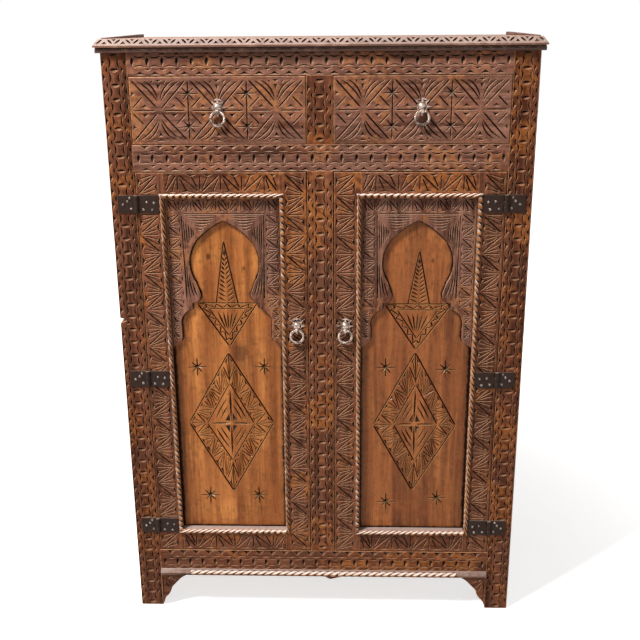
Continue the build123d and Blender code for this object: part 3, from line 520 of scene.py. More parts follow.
def carve_board(name, outline, cuts, thickness, place, bevel=0.9, step=11.0, groove_scale=1.7, wall_shade=1.0):
    """A closed mesh of a board: place(u, v, depth) gives each point's position in millimetres.

    A cut is as dark as it gets from the depth groove_scale on: dark wax, and painted shade. The last argument
    sets how dark the walls go just behind the bevel, a painted shade where a wall meets another board.
    """
    rng = random.Random(name)
    rim, inward = walk_outline(outline, step)
    chamfers = [bevel * rng.uniform(0.55, 1.5) for _ in rim]
    inner = [p + n * c for p, n, c in zip(rim, inward, chamfers)]
    points = [tuple(p) for p in inner]
    edges = [(i, (i + 1) % len(inner)) for i in range(len(inner))]
    known = {}
    for cut in cuts:
        ids = []
        for u, v, _ in cut:
            key = (round(u, 3), round(v, 3))
            if key not in known:
                known[key] = len(points)
                points.append(key)
            ids.append(known[key])
        edges += [(ids[0], ids[1]), (ids[1], ids[2]), (ids[2], ids[0])]
    edges = [edge for edge in edges if edge[0] != edge[1]]
    flat, _, faces, origin, _, _ = delaunay_2d_cdt([Vector(p) for p in points], edges, [], 0, 1e-4, True)
    flat = [(p.x, p.y) for p in flat]
    if len(outline) > 4:  # the triangulation also fills the hollows of an outline
        middles = [[sum(flat[i][k] for i in face) / 3 for k in (0, 1)] for face in faces]
        faces = [face for face, middle in zip(faces, middles) if is_inside(inner, middle)]
    depths = cut_depths(flat, cuts)

    owner = {}
    for new, olds in enumerate(origin):
        for old in olds:
            if old < len(inner):
                owner[new] = old
    sides = {}
    for face in faces:
        for i in range(len(face)):
            edge = (face[i - 1], face[i])
            if (edge[1], edge[0]) in sides:
                del sides[(edge[1], edge[0])]
            else:
                sides[edge] = True

    def rim_point(index):
        """Where a boundary point of the net meets the board's outer edge."""
        if index in owner:
            return rim[owner[index]], chamfers[owner[index]]
        here = Vector(flat[index])
        best = None
        for i, a in enumerate(inner):
            b = inner[(i + 1) % len(inner)]
            span = b - a
            t = min(max((here - a).dot(span) / max(span.length_squared, 1e-9), 0), 1)
            gap = (a + span * t - here).length
            if best is None or gap < best[0]:
                best = (gap, i, t)
        _, i, t = best
        j = (i + 1) % len(inner)
        return rim[i].lerp(rim[j], t), chamfers[i] * (1 - t) + chamfers[j] * t

    verts = [place(u, v, d) for (u, v), d in zip(flat, depths)]
    grooves = [min(d / groove_scale, 1.0) for d in depths]
    polygons = [tuple(face) for face in faces]
    wall = {}
    for edge in sides:
        for index in edge:
            if index not in wall:
                point, chamfer = rim_point(index)
                wall[index] = len(verts)
                front = max(chamfer * 0.8, depths[index])
                for depth in (front, min(front + WALL_SHADE_WIDTH, thickness - 0.2), thickness):
                    verts.append(place(point.x, point.y, depth))
                # the bevel is painted pale, worn and lit; the ring behind it paints the wall's shade
                grooves += [-1.0, wall_shade, 0.0]
    for a, b in sides:
        polygons.append((b, a, wall[a], wall[b]))
        for k in range(2):
            polygons.append((wall[b] + k, wall[a] + k, wall[a] + k + 1, wall[b] + k + 1))
    chain = {a: b for a, b in sides}
    loop = [next(iter(chain))]
    while len(loop) < len(chain):
        loop.append(chain[loop[-1]])
    polygons.append(tuple(wall[i] + 2 for i in reversed(loop)))
    return verts, polygons, grooves


STRAIGHT_ABOVE = (0.0, 0.0, 1.0)
# dust and the painted sheen come a little from the left, as the key light does, so the lit wall of a cut is
# painted pale and the other is not
DUST_AND_SHEEN_FROM = (-0.5, -0.1, 0.86)  # a little from the left, so the walls of a cut differ


def make_piece(name, verts, polygons, grooves, grain_axis, material, dust_and_sheen_from=DUST_AND_SHEEN_FROM):
    """A mesh object, from millimetres, with its attributes and its material."""
    mesh = bpy.data.meshes.new(name)
    mesh.from_pydata([Vector(v) * MM for v in verts], [], polygons)
    mesh.validate()
    shape = bmesh.new()
    shape.from_mesh(mesh)
    bmesh.ops.recalc_face_normals(shape, faces=shape.faces)
    shape.to_mesh(mesh)
    shape.free()
    piece = bpy.data.objects.new(name, mesh)
    bpy.context.scene.collection.objects.link(piece)
    finish_surface(piece, grain_axis, material, grooves, dust_and_sheen_from=dust_and_sheen_from)
    return piece


GRAIN_ORDER = {"x": (0, 1, 2), "y": (1, 0, 2), "z": (2, 1, 0)}
SHARP_ANGLE = math.radians(38)


def finish_surface(piece, grain_axis, material, grooves=None, smooth=False, dusty=1.0,
                   dust_and_sheen_from=DUST_AND_SHEEN_FROM):
    """Adds the attributes that the woods read, and the material."""
    mesh = piece.data
    count = len(mesh.vertices)
    places = np.zeros(count * 3, np.float32)
    mesh.vertices.foreach_get("co", places)
    rng = random.Random("grain " + piece.name)
    shift = np.array([rng.uniform(-3, 3) for _ in range(3)], np.float32)
    turned = places.reshape(-1, 3)[:, GRAIN_ORDER[grain_axis]] + shift
    mesh.attributes.new("grain", "FLOAT_VECTOR", "POINT").data.foreach_set("vector", turned.ravel())
    if grooves is not None or "groove" not in mesh.attributes:
        values = np.zeros(count, np.float32) if grooves is None else np.array(grooves, np.float32)
        mesh.attributes.new("groove", "FLOAT", "POINT").data.foreach_set("value", values)
    facing = mesh.vertex_normals if smooth else mesh.polygon_normals
    normals = np.zeros(len(facing) * 3, np.float32)
    facing.foreach_get("vector", normals)
    normals = normals.reshape(-1, 3)
    upward = np.clip(normals @ np.array(dust_and_sheen_from), 0, 1) * dusty
    # an upright side gets neither dust nor painted sheen
    upward[np.abs(normals[:, 0]) > 0.97] = 0.0  # an upright side holds no dust
    domain = "POINT" if smooth else "FACE"
    mesh.attributes.new("upward", "FLOAT", domain).data.foreach_set("value", upward.astype(np.float32))
    mesh.materials.clear()
    mesh.materials.append(material)
    for polygon in mesh.polygons:
        polygon.use_smooth = smooth
    if smooth:
        mesh.set_sharp_from_angle(angle=SHARP_ANGLE)


def join_shapes(shapes):
    """Several (points, polygons, grooves) as one."""
    verts, polygons, grooves = [], [], []
    for points, faces, cuts in shapes:
        polygons += [tuple(i + len(verts) for i in face) for face in faces]
        verts += points
        grooves += cuts
    return verts, polygons, grooves


def settle(piece, body, slot, *nodes):
    """Rides a finished piece on its body and hides the CAD nodes that it stands for. Its slot is not used."""
    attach(piece, body)
    if nodes:
        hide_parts(*nodes)
    return piece


# %% [markdown]
# ## The lens band
# Posts, rails and uprights carry one band. A row of lens-shaped cuts runs down its middle.
# Thin crescents bound the field between two lenses, and a zigzag ribbon of plain wood runs
# along both sides, left standing between two rows of triangles.

# %% Lens band


def lens_band(start, end, half_width, pitch, rng):
    """Cuts of a band along u, from start to end, with its middle line at v = 0."""
    count = max(1, round((end - start) / pitch))
    pitch = (end - start) / count
    # distances from the middle line
    lens_half, tip_line, chip_line, zigzag_line, outer = 8.4, 11.4, 12.2, 17.2, half_width - 1.2
    cuts = []
    for i in range(count + 1):
        u = start + i * pitch + rng.uniform(-0.5, 0.5)
        reach = lens_half * rng.uniform(0.93, 1.06)
        cuts += leaf((u, -reach), (u, reach), rng.uniform(7.6, 9.0), 3.4, point=0.75)
        for side in (1, -1):
            if i in (0, count):
                continue
            half = pitch * rng.uniform(0.34, 0.38)
            cuts += pit(
                ((u - half, side * chip_line), (u + half, side * chip_line), (u, side * zigzag_line)),
                (u + rng.uniform(-0.4, 0.4), side * (chip_line + 1.8)), 3.0,
            )
        if i == count:
            continue
        middle = u + pitch / 2
        for side in (1, -1):
            bow = -side * rng.uniform(3.6, 4.3)
            cuts += leaf(
                (u + pitch * 0.08, side * tip_line), (u + pitch * 0.92, side * tip_line),
                4.0, 2.6, bow=bow, lean=-0.55 * side, steps=6,
            )
            half = pitch * rng.uniform(0.38, 0.42)
            base, tip = side * outer, side * (zigzag_line - 1.0)
            cuts += pit(
                ((middle - half, base), (middle + half, base), (middle, tip)),
                (middle + rng.uniform(-0.4, 0.4), side * (outer - 2.6)), 3.0,
            )
    return cuts


# %% [markdown]
# ## The fan band
# The frames of the doors and the arch boards carry fans: tall triangles that point up and down
# in turn, divided by long V grooves, with three or five rays and two small chips in each.

# %% Fan band


def fan_band(stations, low, high, rng, rays=3, groove_width=4.0, first_up=True, limit=None):
    """Cuts of a band along u: a fan at each station, between the edges v = low and v = high.

    A limit is a function of u that gives the highest v that the strokes may reach there.
    """
    limit = limit or (lambda u: high)
    height = high - low
    first, last = stations[0], stations[-1]
    cuts = []

    def stroke(a, b, width, depth, taper):
        """One groove, kept on the board."""
        a, b = ((u, min(v, limit(u))) for u, v in (a, b))
        if (Vector(a) - Vector(b)).length > 3.0:
            return groove(a, b, width, depth, taper)
        return []

    for i, u in enumerate(stations):
        up = (i % 2 == 0) == first_up
        apex_v, base_v, toward = (high, low, 1) if up else (low, high, -1)
        before = u - stations[i - 1] if i else 0.0
        after = stations[i + 1] - u if i + 1 < len(stations) else 0.0
        if after:
            cuts += stroke(
                (u + after * 0.05, apex_v - toward * height * 0.05),
                (u + after * 0.95, base_v + toward * height * 0.05), groove_width, groove_width * 0.65, 5.0,
            )
        for k in range(rays):
            place = (k - (rays - 1) / 2) / max(1, (rays - 1) / 2)
            room = after if place > 0 else before
            spread = (0.44 if rays == 3 else 0.62) * place * room
            begin, stop = (0.12, 0.95) if place == 0 else (0.24, 0.9)
            least_room = 24.0 if abs(place) == 1 and rays == 5 else 0.0
            inside = first < u < last if place == 0 else room > least_room
            if inside:
                stop *= rng.uniform(0.95, 1.04)
                cuts += stroke(
                    (u + spread * begin, apex_v - toward * height * begin),
                    (u + spread * stop, apex_v - toward * height * stop),
                    groove_width * 0.82, groove_width * 0.55, 4.0,
                )
        for side, room in ((-1, before), (1, after)):
            if not room:
                continue
            near, far = u + side * room * 0.1, u + side * room * 0.66
            middle = (near + far) / 2
            base = base_v + toward * 1.3
            tip = base_v + toward * height * rng.uniform(0.17, 0.21)
            if max(base, tip) < limit(near) and max(base, tip) < limit(far):
                cuts += pit(((near, base), (far, base), (middle, tip)), (middle, (base + tip) / 2), 2.6)
    return cuts


# %% [markdown]
# ## Posts, rails and uprights
# Each board is carved flat, in its own (u, v), and placed on the front by a function.

# %% Carve the carcass's front

post_low, post_high = box_mm("post_front_left")
front_y = post_low.y
post_width = post_high.x - post_low.x
post_inner = -post_high.x


def upright_place(x_middle, z_low, y_face):
    """Places a board whose u runs up and whose v runs to the left."""
    return lambda u, v, depth: (x_middle - v, y_face + depth, z_low + u)


def level_place(x_low, z_middle, y_face):
    """Places a board whose u runs to the right and whose v runs up."""
    return lambda u, v, depth: (x_low + u, y_face + depth, z_middle + v)


def rectangle(length, width):
    """The outline of a board, from u = 0 and centred on v = 0."""
    return [(0, -width / 2), (length, -width / 2), (length, width / 2), (0, width / 2)]


NOTCH_CLEARANCE, NOTCH_REACH = 3.0, 16.0  # no chip this near to a notch, along and across, in mm


def lens_board(name, length, width, thickness, place, axis, wood, pitch=27.2, margins=(10.0, 10.0),
               extra=None, wall_shade=1.0):
    """A board carved with the lens band.

    Extra maps a side of the outline to points put into it. Chips that a notch would cross go.
    """
    rng = random.Random("chips " + name)
    cuts = lens_band(margins[0], length - margins[1], width / 2, pitch, rng)
    outline = rectangle(length, width)
    for side, points in (extra or {}).items():
        outline[side + 1:side + 1] = points
        first, last = points[-1][0] - NOTCH_CLEARANCE, points[0][0] + NOTCH_CLEARANCE
        deepest = width / 2 - NOTCH_REACH
        cuts = [cut for cut in cuts if not any(first < u < last and v > deepest for u, v, _ in cut)]
    shape = carve_board(name, outline, cuts, thickness, place, wall_shade=wall_shade)
    return make_piece(name, *shape, axis, wood)


# points (u, v) put into the outlines of the left post and of the bottom rail
POST_NOTCH = ((666.5, 24.0), (664.0, 12.5), (661.0, 11.5), (658.5, 18.0), (655.5, 24.0))
DROP = ((345.0, -29.0), (370.0, -41.5), (418.0, -29.0))
NOTCH_DEPTH = 40.0  # how far back from the post's face the notch goes
BOTTOM_RAIL_WIDTH = 58.0  # without the drop


def post_place(x_middle, z_low, y_face):
    """Like upright_place, but the notch in the post's edge runs out towards the back."""
    place = upright_place(x_middle, z_low, y_face)

    def placed(u, v, depth):
        in_notch = POST_NOTCH[-1][0] - 1.0 < u < POST_NOTCH[0][0] + 1.0 and v > 0
        return place(u, post_width / 2 if in_notch and depth > NOTCH_DEPTH else v, depth)

    return placed


for side_name, side in SIDES:
    node = f"post_front_{side_name}"
    low, high = box_mm(node)
    post = lens_board(
        f"carved_{node}", high.z - low.z, post_width, high.y - low.y,
        post_place((low.x + high.x) / 2, low.z, front_y), "z", post_wood, pitch=26.5, margins=(8.0, 14.0),
        extra={2: POST_NOTCH} if side < 0 else None, wall_shade=0.0,
    )
    settle(post, "carcass", "frame_wood", node)

for node, wood, extra in (
    ("top_rail", faded_wood, None),
    ("middle_rail", faded_wood, None),
    ("bottom_rail", frame_wood, {0: DROP}),
):
    low, high = box_mm(node)
    z_low = high.z - (BOTTOM_RAIL_WIDTH if extra else high.z - low.z)
    rail = lens_board(
        f"carved_{node}", 2 * post_inner, high.z - z_low, high.y - low.y,
        level_place(-post_inner, (z_low + high.z) / 2, front_y), "x", wood, extra=extra,
    )
    settle(rail, "carcass", "frame_wood", node)

for node, below, above, wood in (
    ("door_muntin", "bottom_rail", "middle_rail", frame_wood),
    ("drawer_muntin", "middle_rail", "top_rail", post_wood),
):
    low, high = box_mm(node)
    z_low, z_high = box_mm(below)[1].z, box_mm(above)[0].z
    upright = lens_board(
        f"carved_{node}", z_high - z_low, high.x - low.x, high.y - low.y,
        upright_place(0, z_low, front_y), "z", wood,
    )
    settle(upright, "carcass", "frame_wood", node)

# %% [markdown]
# ## The frames of the doors
# Stiles run the full height and rails fit between them. The twisted moulding covers their inner
# edges, so the fans keep to the wood that shows. At each corner of a door the first groove of
# the stile runs from the outer corner to the inner one.

# %% Carve the door frames

FACES_UP = 0.95  # least upward part of the normal of a level face
rope_width = 9.0
overlay_low, overlay_high = box_mm("door_left_arch_overlay")
open_width = overlay_high.x - overlay_low.x
open_high = overlay_high.z
open_low = box_mm("door_left_rope_frame")[0].z + rope_width
rail_stations = (0.0, 0.125, 0.32, 0.5, 0.68, 0.875, 1.0)  # shares of a rail's length


def stile_stations(length):
    """Where fans stand on a stile: a block at each end, and even steps between them."""
    block, steps = 43.0, 19
    between = [block + (length - 2 * block) * i / steps for i in range(steps + 1)]
    return [1.0] + between + [length - 1.0]


def fan_room(width, rope_is_low):
    """From where to where fans fill a board's width, beside the rope that covers one edge."""
    low, high = -width / 2 + 1.6, width / 2 - 1.6
    covered = rope_width - 1.0
    return (low + covered, high) if rope_is_low else (low, high - covered)


def carve_door_frame(name, side):
    """The four boards of a door's frame."""
    hinge_low, hinge_high = box_mm(f"door_{name}_hinge_stile")
    for stile in ("hinge", "pull"):
        node = f"door_{name}_{stile}_stile"
        low, high = box_mm(node)
        width, length = high.x - low.x, high.z - low.z
        rng = random.Random("fans " + node)
        inner_is_right = (stile == "hinge") == (side < 0)
        v_low, v_high = fan_room(width, inner_is_right)
        cuts = fan_band(stile_stations(length), v_low, v_high, rng, rays=5, first_up=inner_is_right)
        shape = carve_board(
            f"carved_{node}", rectangle(length, width), cuts, high.y - low.y,
            upright_place((low.x + high.x) / 2, low.z, low.y),
        )
        settle(make_piece(f"carved_{node}", *shape, "z", frame_wood), f"door_{name}", "frame_wood", node)

    mid_x = side * (overlay_low.x + overlay_high.x) / -2
    parts = []
    for label, z_low, z_high in (("top", open_high, hinge_high.z), ("bottom", hinge_low.z, open_low)):
        width = z_high - z_low
        rng = random.Random(f"fans {name} {label}")
        v_low, v_high = fan_room(width, label == "top")
        stations = [share * open_width for share in rail_stations]
        stations[0], stations[-1] = 1.0, open_width - 1.0
        cuts = fan_band(stations, v_low, v_high, rng, first_up=label != "top")
        shape = carve_board(
            f"{name} {label} rail", rectangle(open_width, width), cuts, hinge_high.y - hinge_low.y,
            level_place(mid_x - open_width / 2, (z_low + z_high) / 2, hinge_low.y), wall_shade=0.0,
        )
        parts.append(shape)
    rails = make_piece(f"carved_door_{name}_rails", *join_shapes(parts), "x", frame_wood)
    # the ledge under the opening gets the paler edge wood and a strong dust mask, which also paints the light
    # that falls on it
    rails.data.materials.append(edge_wood)
    ledge_z, least_area = open_low * MM - 0.001, 20 * MM * MM
    for polygon in rails.data.polygons:
        if polygon.normal.z > FACES_UP and polygon.area > least_area and polygon.center.z > ledge_z:
            polygon.material_index = 1
            rails.data.attributes["upward"].data[polygon.index].value = 0.8
    settle(rails, f"door_{name}", "frame_wood", f"door_{name}_rails")


for side_name, side in SIDES:
    carve_door_frame(side_name, side)

# %% [markdown]
# ## The keyhole arch
# A thin board with a keyhole-shaped hollow lies over the upper half of each panel. Its outline
# is a chain of arcs, given by three points each. Fans follow its outer edges as far as the
# hollow leaves room, and long curved leaves fill the corners over the arch.

# %% Arch outline


def arc_points(first, middle, last, steps):
    """Points on the arc through three points, without the last one."""
    a, b, c = (complex(*p) for p in (first, middle, last))
    w = (c - a) / (b - a)
    centre = (b - a) * (w - abs(w) ** 2) / (2j * w.imag) + a
    radius = abs(a - centre)
    start = math.atan2((a - centre).imag, (a - centre).real)
    end = math.atan2((c - centre).imag, (c - centre).real)
    through = math.atan2((b - centre).imag, (b - centre).real)
    turn = (end - start) % (2 * math.pi)
    if (through - start) % (2 * math.pi) > turn:
        turn -= 2 * math.pi
    return [
        (centre.real + radius * math.cos(start + turn * i / steps),
         centre.imag + radius * math.sin(start + turn * i / steps))
        for i in range(steps)
    ]


def keyhole_half():
    """The right side of the hollow, from its apex down: (half width, height below 0)."""
    edge = open_width / 2
    brow, flank, waist = (edge - 55.75, -85.0), (edge - 52.75, -169.0), (edge - 60.75, -193.0)
    cusp, step, lobe = (edge - 43.25, -211.0), (edge - 43.25, -223.0), (edge - 19.75, -262.0)
    tail_start, tail = (edge - 19.75, -278.0), (edge - 12.75, -294.0)
    line = arc_points((0, -44.0), (29.0, -60.5), brow, 7)
    line += arc_points(brow, (edge - 41.25, -126.0), flank, 12)
    line += [flank]
    line += arc_points(waist, (edge - 55.75, -206.5), cusp, 5)
    line += [cusp]
    line += arc_points(step, (edge - 25.75, -234.5), lobe, 8)
    line += [lobe]
    line += arc_points(tail_start, (edge - 17.25, -290.0), tail, 3)
    return line + [tail]


def arch_margin(drop):
    """How wide the arch board is beside the hollow at a distance below its top."""
    half = keyhole_half()
    edge = open_width / 2
    for (x0, y0), (x1, y1) in zip(half, half[1:]):
        if y1 <= -drop <= y0 and y0 != y1:
            return edge - (x0 + (x1 - x0) * (y0 + drop) / (y0 - y1))
    return edge if drop < 44 else 6.0


# %% Carve the arch boards

SPANDREL_LEAVES = (
    # start, end, bow, width, as distances from the middle and below the top
    ((76.0, 34.5), (14.0, 35.5), 0.4, 3.0),
    ((71.0, 38.5), (10.0, 38.5), -1.6, 3.4),
    ((66.0, 42.5), (15.0, 42.5), -2.6, 3.6),
    ((61.0, 47.5), (22.0, 48.0), -3.0, 3.6),
    ((57.0, 53.0), (29.5, 54.0), -2.8, 3.6),
    ((54.5, 59.0), (37.0, 61.0), -2.2, 3.4),
    ((77.0, 40.0), (75.0, 108.0), 0.8, 3.2),
    ((73.0, 44.5), (72.0, 104.0), 1.6, 3.4),
    ((68.5, 49.5), (68.5, 95.0), 2.2, 3.6),
    ((64.0, 55.0), (64.5, 86.0), 2.4, 3.6),
    ((60.0, 61.5), (60.0, 79.0), 2.0, 3.4),
    ((78.0, 110.0), (76.0, 212.0), 0.0, 3.0),
    ((74.0, 128.0), (69.0, 205.0), -2.0, 3.6),
    ((70.5, 152.0), (62.0, 200.0), -1.6, 3.6),
    ((65.0, 166.0), (55.5, 199.0), -1.0, 3.4),
    ((72.0, 216.0), (75.0, 232.0), 1.0, 3.2),
)


def carve_arch(name):
    """The arch board of one door."""
    node = f"door_{name}_arch_overlay"
    low, high = box_mm(node)
    edge, deep = open_width / 2, high.z - low.z
    rng = random.Random("arch " + node)
    half = keyhole_half()
    hollow = [(-x, y) for x, y in reversed(half)] + half[1:]
    outline = [(-edge, -deep)] + hollow + [(edge, -deep), (edge, 0), (-edge, 0)]
    band = 29.0
    cuts = []
    top = fan_band([2.0 + (2 * edge - 4.0) * i / 9 for i in range(10)], -band, -2.0, rng, groove_width=3.2)
    top = moved(top, lambda u, v: (u - edge, v))
    cuts += [cut for cut in top if all(abs(p[0]) < edge - 3 for p in cut)]
    for flip in (1, -1):
        for stations, reach in (  # wide fans beside the hollow, then narrow ones beside its foot
            ([band + 1.0 + 24.2 * i for i in range(9)], band),
            ([band + 1.0 + 24.2 * 8 + 15.5 * i for i in range(5)], 20.0),
        ):
            fans = fan_band(
                stations, 2.0, reach, rng, groove_width=3.2, first_up=True,
                limit=lambda u: min(reach, arch_margin(min(max(u, 45.0), deep)) - 2.5),
            )
            cuts += moved(fans, lambda u, v: (flip * (edge - v), -u))
        for start, end, bow, width in SPANDREL_LEAVES:
            cuts += leaf(
                (flip * start[0], -start[1]), (flip * end[0], -end[1]), width, width * 0.65,
                bow=-flip * bow, steps=8, point=0.55,
            )
        cuts += groove((flip * (edge - 31.0), -33.0), (flip * (edge - 33.0), -205.0), 2.8, 2.0)
    cuts += groove((-edge + 31.0, -31.5), (edge - 31.0, -31.5), 2.8, 2.0)
    mid_x = (low.x + high.x) / 2
    shape = carve_board(
        f"carved_{node}", outline, cuts, high.y - low.y,
        lambda u, v, depth: (mid_x + u, low.y + depth, high.z + v), bevel=0.7,
    )
    settle(make_piece(f"carved_{node}", *shape, "z", faded_wood), f"door_{name}", "frame_wood", node)


for side_name, _ in SIDES:
    carve_arch(side_name)

# %% [markdown]
# ## The panels
# Each panel is a plain golden board with a few things cut in it by a finer knife: a tall spire
# with herringbone strokes, a triangle that hangs from a line, a large diamond with a smaller
# one inside, and four stars. The two doors were cut by eye and differ a little.

# %% Panel motifs


def star(centre, reaches, rng):
    """A pit with eight points and a leaf along each; reaches gives the rays' lengths in turn."""
    centre = Vector(centre)
    notch, depth, pit_share = 5.6, 3.4, 0.8
    corners, rays = [], []
    for i in range(16):
        angle = math.pi * i / 8 + rng.uniform(-0.05, 0.05)
        out = Vector((math.cos(angle), math.sin(angle)))
        if i % 2:
            corners.append(tuple(centre + out * notch))
            continue
        reach = reaches[i // 2 % len(reaches)]
        corners.append(tuple(centre + out * reach * pit_share))
        rays += leaf(centre + out * 3.0, centre + out * reach, 3.0, 2.2, steps=4, point=0.6)
    return pit(corners, centre, depth) + rays


def zigzag_strokes(outer, inner, count):
    """V grooves that lean to and fro between two lines, each given by its ends."""
    (a, b), (c, d) = outer, inner
    turns = [a.lerp(b, i / count) if i % 2 else c.lerp(d, i / count) for i in range(count + 1)]
    return [cut for p, q in zip(turns, turns[1:]) for cut in groove(p, q, 3.2, 2.2, taper=1.5)]


def grime_and_shade_line(path, width=9.0):
    """A shallow dark line along a path beside another board: painted contact shade, and the grime of that
    corner.
    """
    count, depth = len(path) - 2, 0.6
    return sweep_cut(path, [0.0] + [width] * count + [0.0], [0.0] + [depth] * count + [0.0])


def carve_spire(apex, base_left, base_right):
    """A narrow triangle filled with herringbone strokes."""
    apex, base_left, base_right = Vector(apex), Vector(base_left), Vector(base_right)
    cuts = groove(apex, base_left, 3.2, 2.0) + groove(apex, base_right, 3.2, 2.0)
    tall = apex.y - base_left.y
    rows = 10
    for i in range(rows):
        t = 0.28 + 0.7 * i / rows
        left, right = apex.lerp(base_left, t), apex.lerp(base_right, t)
        spine = (left + right) / 2
        drop = Vector((0, tall * 0.045))
        for corner in (left, right):
            outer = spine.lerp(corner, 0.9)
            cuts += leaf(spine - drop * 0.9, outer + drop * 1.0, 4.0, 2.5, steps=4, bow=0.3, point=0.6)
    middle = (base_left + base_right) / 2
    cuts += pit(
        (apex.lerp(middle, 0.1), apex.lerp(base_right, 0.2) - Vector((0.6, 0)), apex.lerp(middle, 0.27),
         apex.lerp(base_left, 0.2) + Vector((0.6, 0))), apex.lerp(middle, 0.18), 1.0,
    )
    return cuts


def carve_hanging_triangle(left, right, apex):
    """A triangle that points down, with a band of chips inside it and rays in its middle."""
    left, right, apex = Vector(left), Vector(right), Vector(apex)
    middle = (left + right + apex) / 3
    cuts = groove(left, right, 3.4, 2.2) + groove(left, apex, 3.4, 2.2) + groove(right, apex, 3.4, 2.2)
    inner = [middle.lerp(corner, 0.62) for corner in (left, right, apex)]
    for a, b in ((0, 1), (1, 2), (2, 0)):
        cuts += groove(inner[a], inner[b], 2.7, 1.9, taper=3)
    rims = [[middle.lerp(corner, share) for corner in (left, right, apex)] for share in (0.93, 0.68)]
    for a, b in ((0, 1), (0, 2), (1, 2)):
        cuts += zigzag_strokes(*[(rim[a], rim[b]) for rim in rims], 10)
    for share in (0.2, 0.36, 0.5, 0.64, 0.8):
        top = inner[0].lerp(inner[1], share)
        cuts += leaf(inner[2].lerp(top, 0.2), inner[2].lerp(top, 0.92), 4.0, 2.4, steps=4)
    return cuts


def carve_diamond(top, left, right, bottom, inner_reach, rng):
    """Two diamonds, one in the other, with rays between them and a cross in the middle."""
    corners = [Vector(p) for p in (top, right, bottom, left)]
    centre = (corners[0] + corners[1] + corners[2] + corners[3]) / 4
    inner = [centre + Vector(offset) for offset in inner_reach]
    cuts = []
    for i in range(4):
        a, b = corners[i], corners[(i + 1) % 4]
        p, q = inner[i], inner[(i + 1) % 4]
        cuts += groove(a, b, 3.4, 2.2)
        cuts += groove(p, q, 3.0, 2.0)
        cuts += groove(a, p, 2.7, 1.9)
        length, width = ((a - b).length + (p - q).length) / 2, ((a + b) / 2 - (p + q) / 2).length
        stations = [length * k / 6 for k in range(7)]
        fans = fan_band(stations, 1.5, width - 1.5, rng, groove_width=2.9, first_up=False)
        cuts += moved(fans, lambda u, v: p.lerp(q, u / length).lerp(a.lerp(b, u / length), v / width))
    for i in range(4):
        p, q = inner[i], inner[(i + 1) % 4]
        cuts += leaf(centre, centre.lerp(p, 0.9), 5.0, 2.6, steps=4, point=0.6)
        out = (p.lerp(q, 0.5) - centre).normalized()
        for share, width in ((0.76, 3.8), (0.54, 3.4)):
            a, b = centre.lerp(p, share), centre.lerp(q, share)
            cuts += leaf(a.lerp(b, 0.13), a.lerp(b, 0.87), width, 2.2, steps=6, bow=1.2)
        a, b = centre.lerp(p, 0.34), centre.lerp(q, 0.34)
        root = centre + out * 3.5
        cuts += pit((a.lerp(b, 0.18), a.lerp(b, 0.82), root), (a + b + root) / 3, 2.2)
    return cuts


# %% Carve the panels

PANEL_PLANS = {
    # places from the middle of the door and from the floor
    "left": {
        "spire": ((-1.2, 820.5), (-20.8, 690.0), (23.8, 690.0)),
        "triangle": ((-58.4, 693.6), (61.2, 693.6), (3.5, 601.5)),
        "diamond": ((0.0, 588.0), (-87.1, 433.0), (89.1, 434.0), (0.5, 275.0)),
        "inner": ((-0.6, 90.0), (48.0, -1.0), (0.0, -86.0), (-50.0, -1.0)),
        "stars": ((-65.0, 557.0), (72.4, 557.7), (-50.0, 264.5), (54.1, 265.4)),
    },
    "right": {
        "spire": ((4.1, 800.6), (-17.4, 688.0), (26.9, 688.0)),
        "triangle": ((-62.4, 692.0), (69.6, 692.0), (1.4, 595.5)),
        "diamond": ((0.4, 590.0), (-82.8, 430.5), (87.0, 429.5), (0.2, 280.0)),
        "inner": ((2.0, 89.0), (48.4, -1.0), (2.5, -84.0), (-42.2, -1.0)),
        "stars": ((-58.7, 557.0), (62.5, 553.8), (-54.2, 252.0), (53.7, 261.7)),
    },
}


def carve_panel(name):
    """The golden panel of one door."""
    node = f"door_{name}_panel"
    low, high = box_mm(node)
    plan = PANEL_PLANS[name]
    rng = random.Random("panel " + name)
    cuts = carve_spire(*plan["spire"])
    cuts += carve_hanging_triangle(*plan["triangle"])
    cuts += carve_diamond(*plan["diamond"], plan["inner"], rng)
    for centre in plan["stars"]:
        reach = rng.uniform(19.5, 22.0)
        shares = (1.12, 0.8, 1.06, 0.8)  # of the level, slanting, upright and slanting rays
        cuts += star(centre, [reach * share for share in shares], rng)
    # dark lines along the arch board and the frame's edges: painted shade where the panel meets them, and grime
    # in those corners
    half = keyhole_half()
    hollow = [(-x, open_high + y) for x, y in reversed(half)] + [(x, open_high + y) for x, y in half[1:]]
    cuts += grime_and_shade_line(hollow)
    edge, arch_low = open_width / 2, overlay_low.z
    side_ends = (arch_low + 14.0, arch_low, open_low, open_low - 8.0)
    for x in (-edge, edge):
        cuts += grime_and_shade_line([(x, z) for z in side_ends], width=14.0)
    cuts += grime_and_shade_line([(x, open_low) for x in (-edge - 8.0, -edge, edge, edge + 8.0)], width=12.0)
    mid_x = (low.x + high.x) / 2
    reach = (high.x - low.x) / 2
    outline = [(-reach, low.z), (reach, low.z), (reach, high.z), (-reach, high.z)]
    shape = carve_board(
        f"carved_{node}", outline, cuts, high.y - low.y,
        lambda u, v, depth: (mid_x + u, low.y + depth, v), bevel=0.5, step=60.0, groove_scale=1.5,
    )
    settle(make_piece(f"carved_{node}", *shape, "z", panel_woods[name]), f"door_{name}", "panel_wood", node)


for side_name, _ in SIDES:
    carve_panel(side_name)
print("doors carved")

# %% [markdown]
# ## The drawer fronts
# Each front is divided by one level groove and two upright ones. Long diagonals cross between
# them, curved leaves grow from each crossing, and stars sit on the uprights.

# %% Carve the drawer fronts


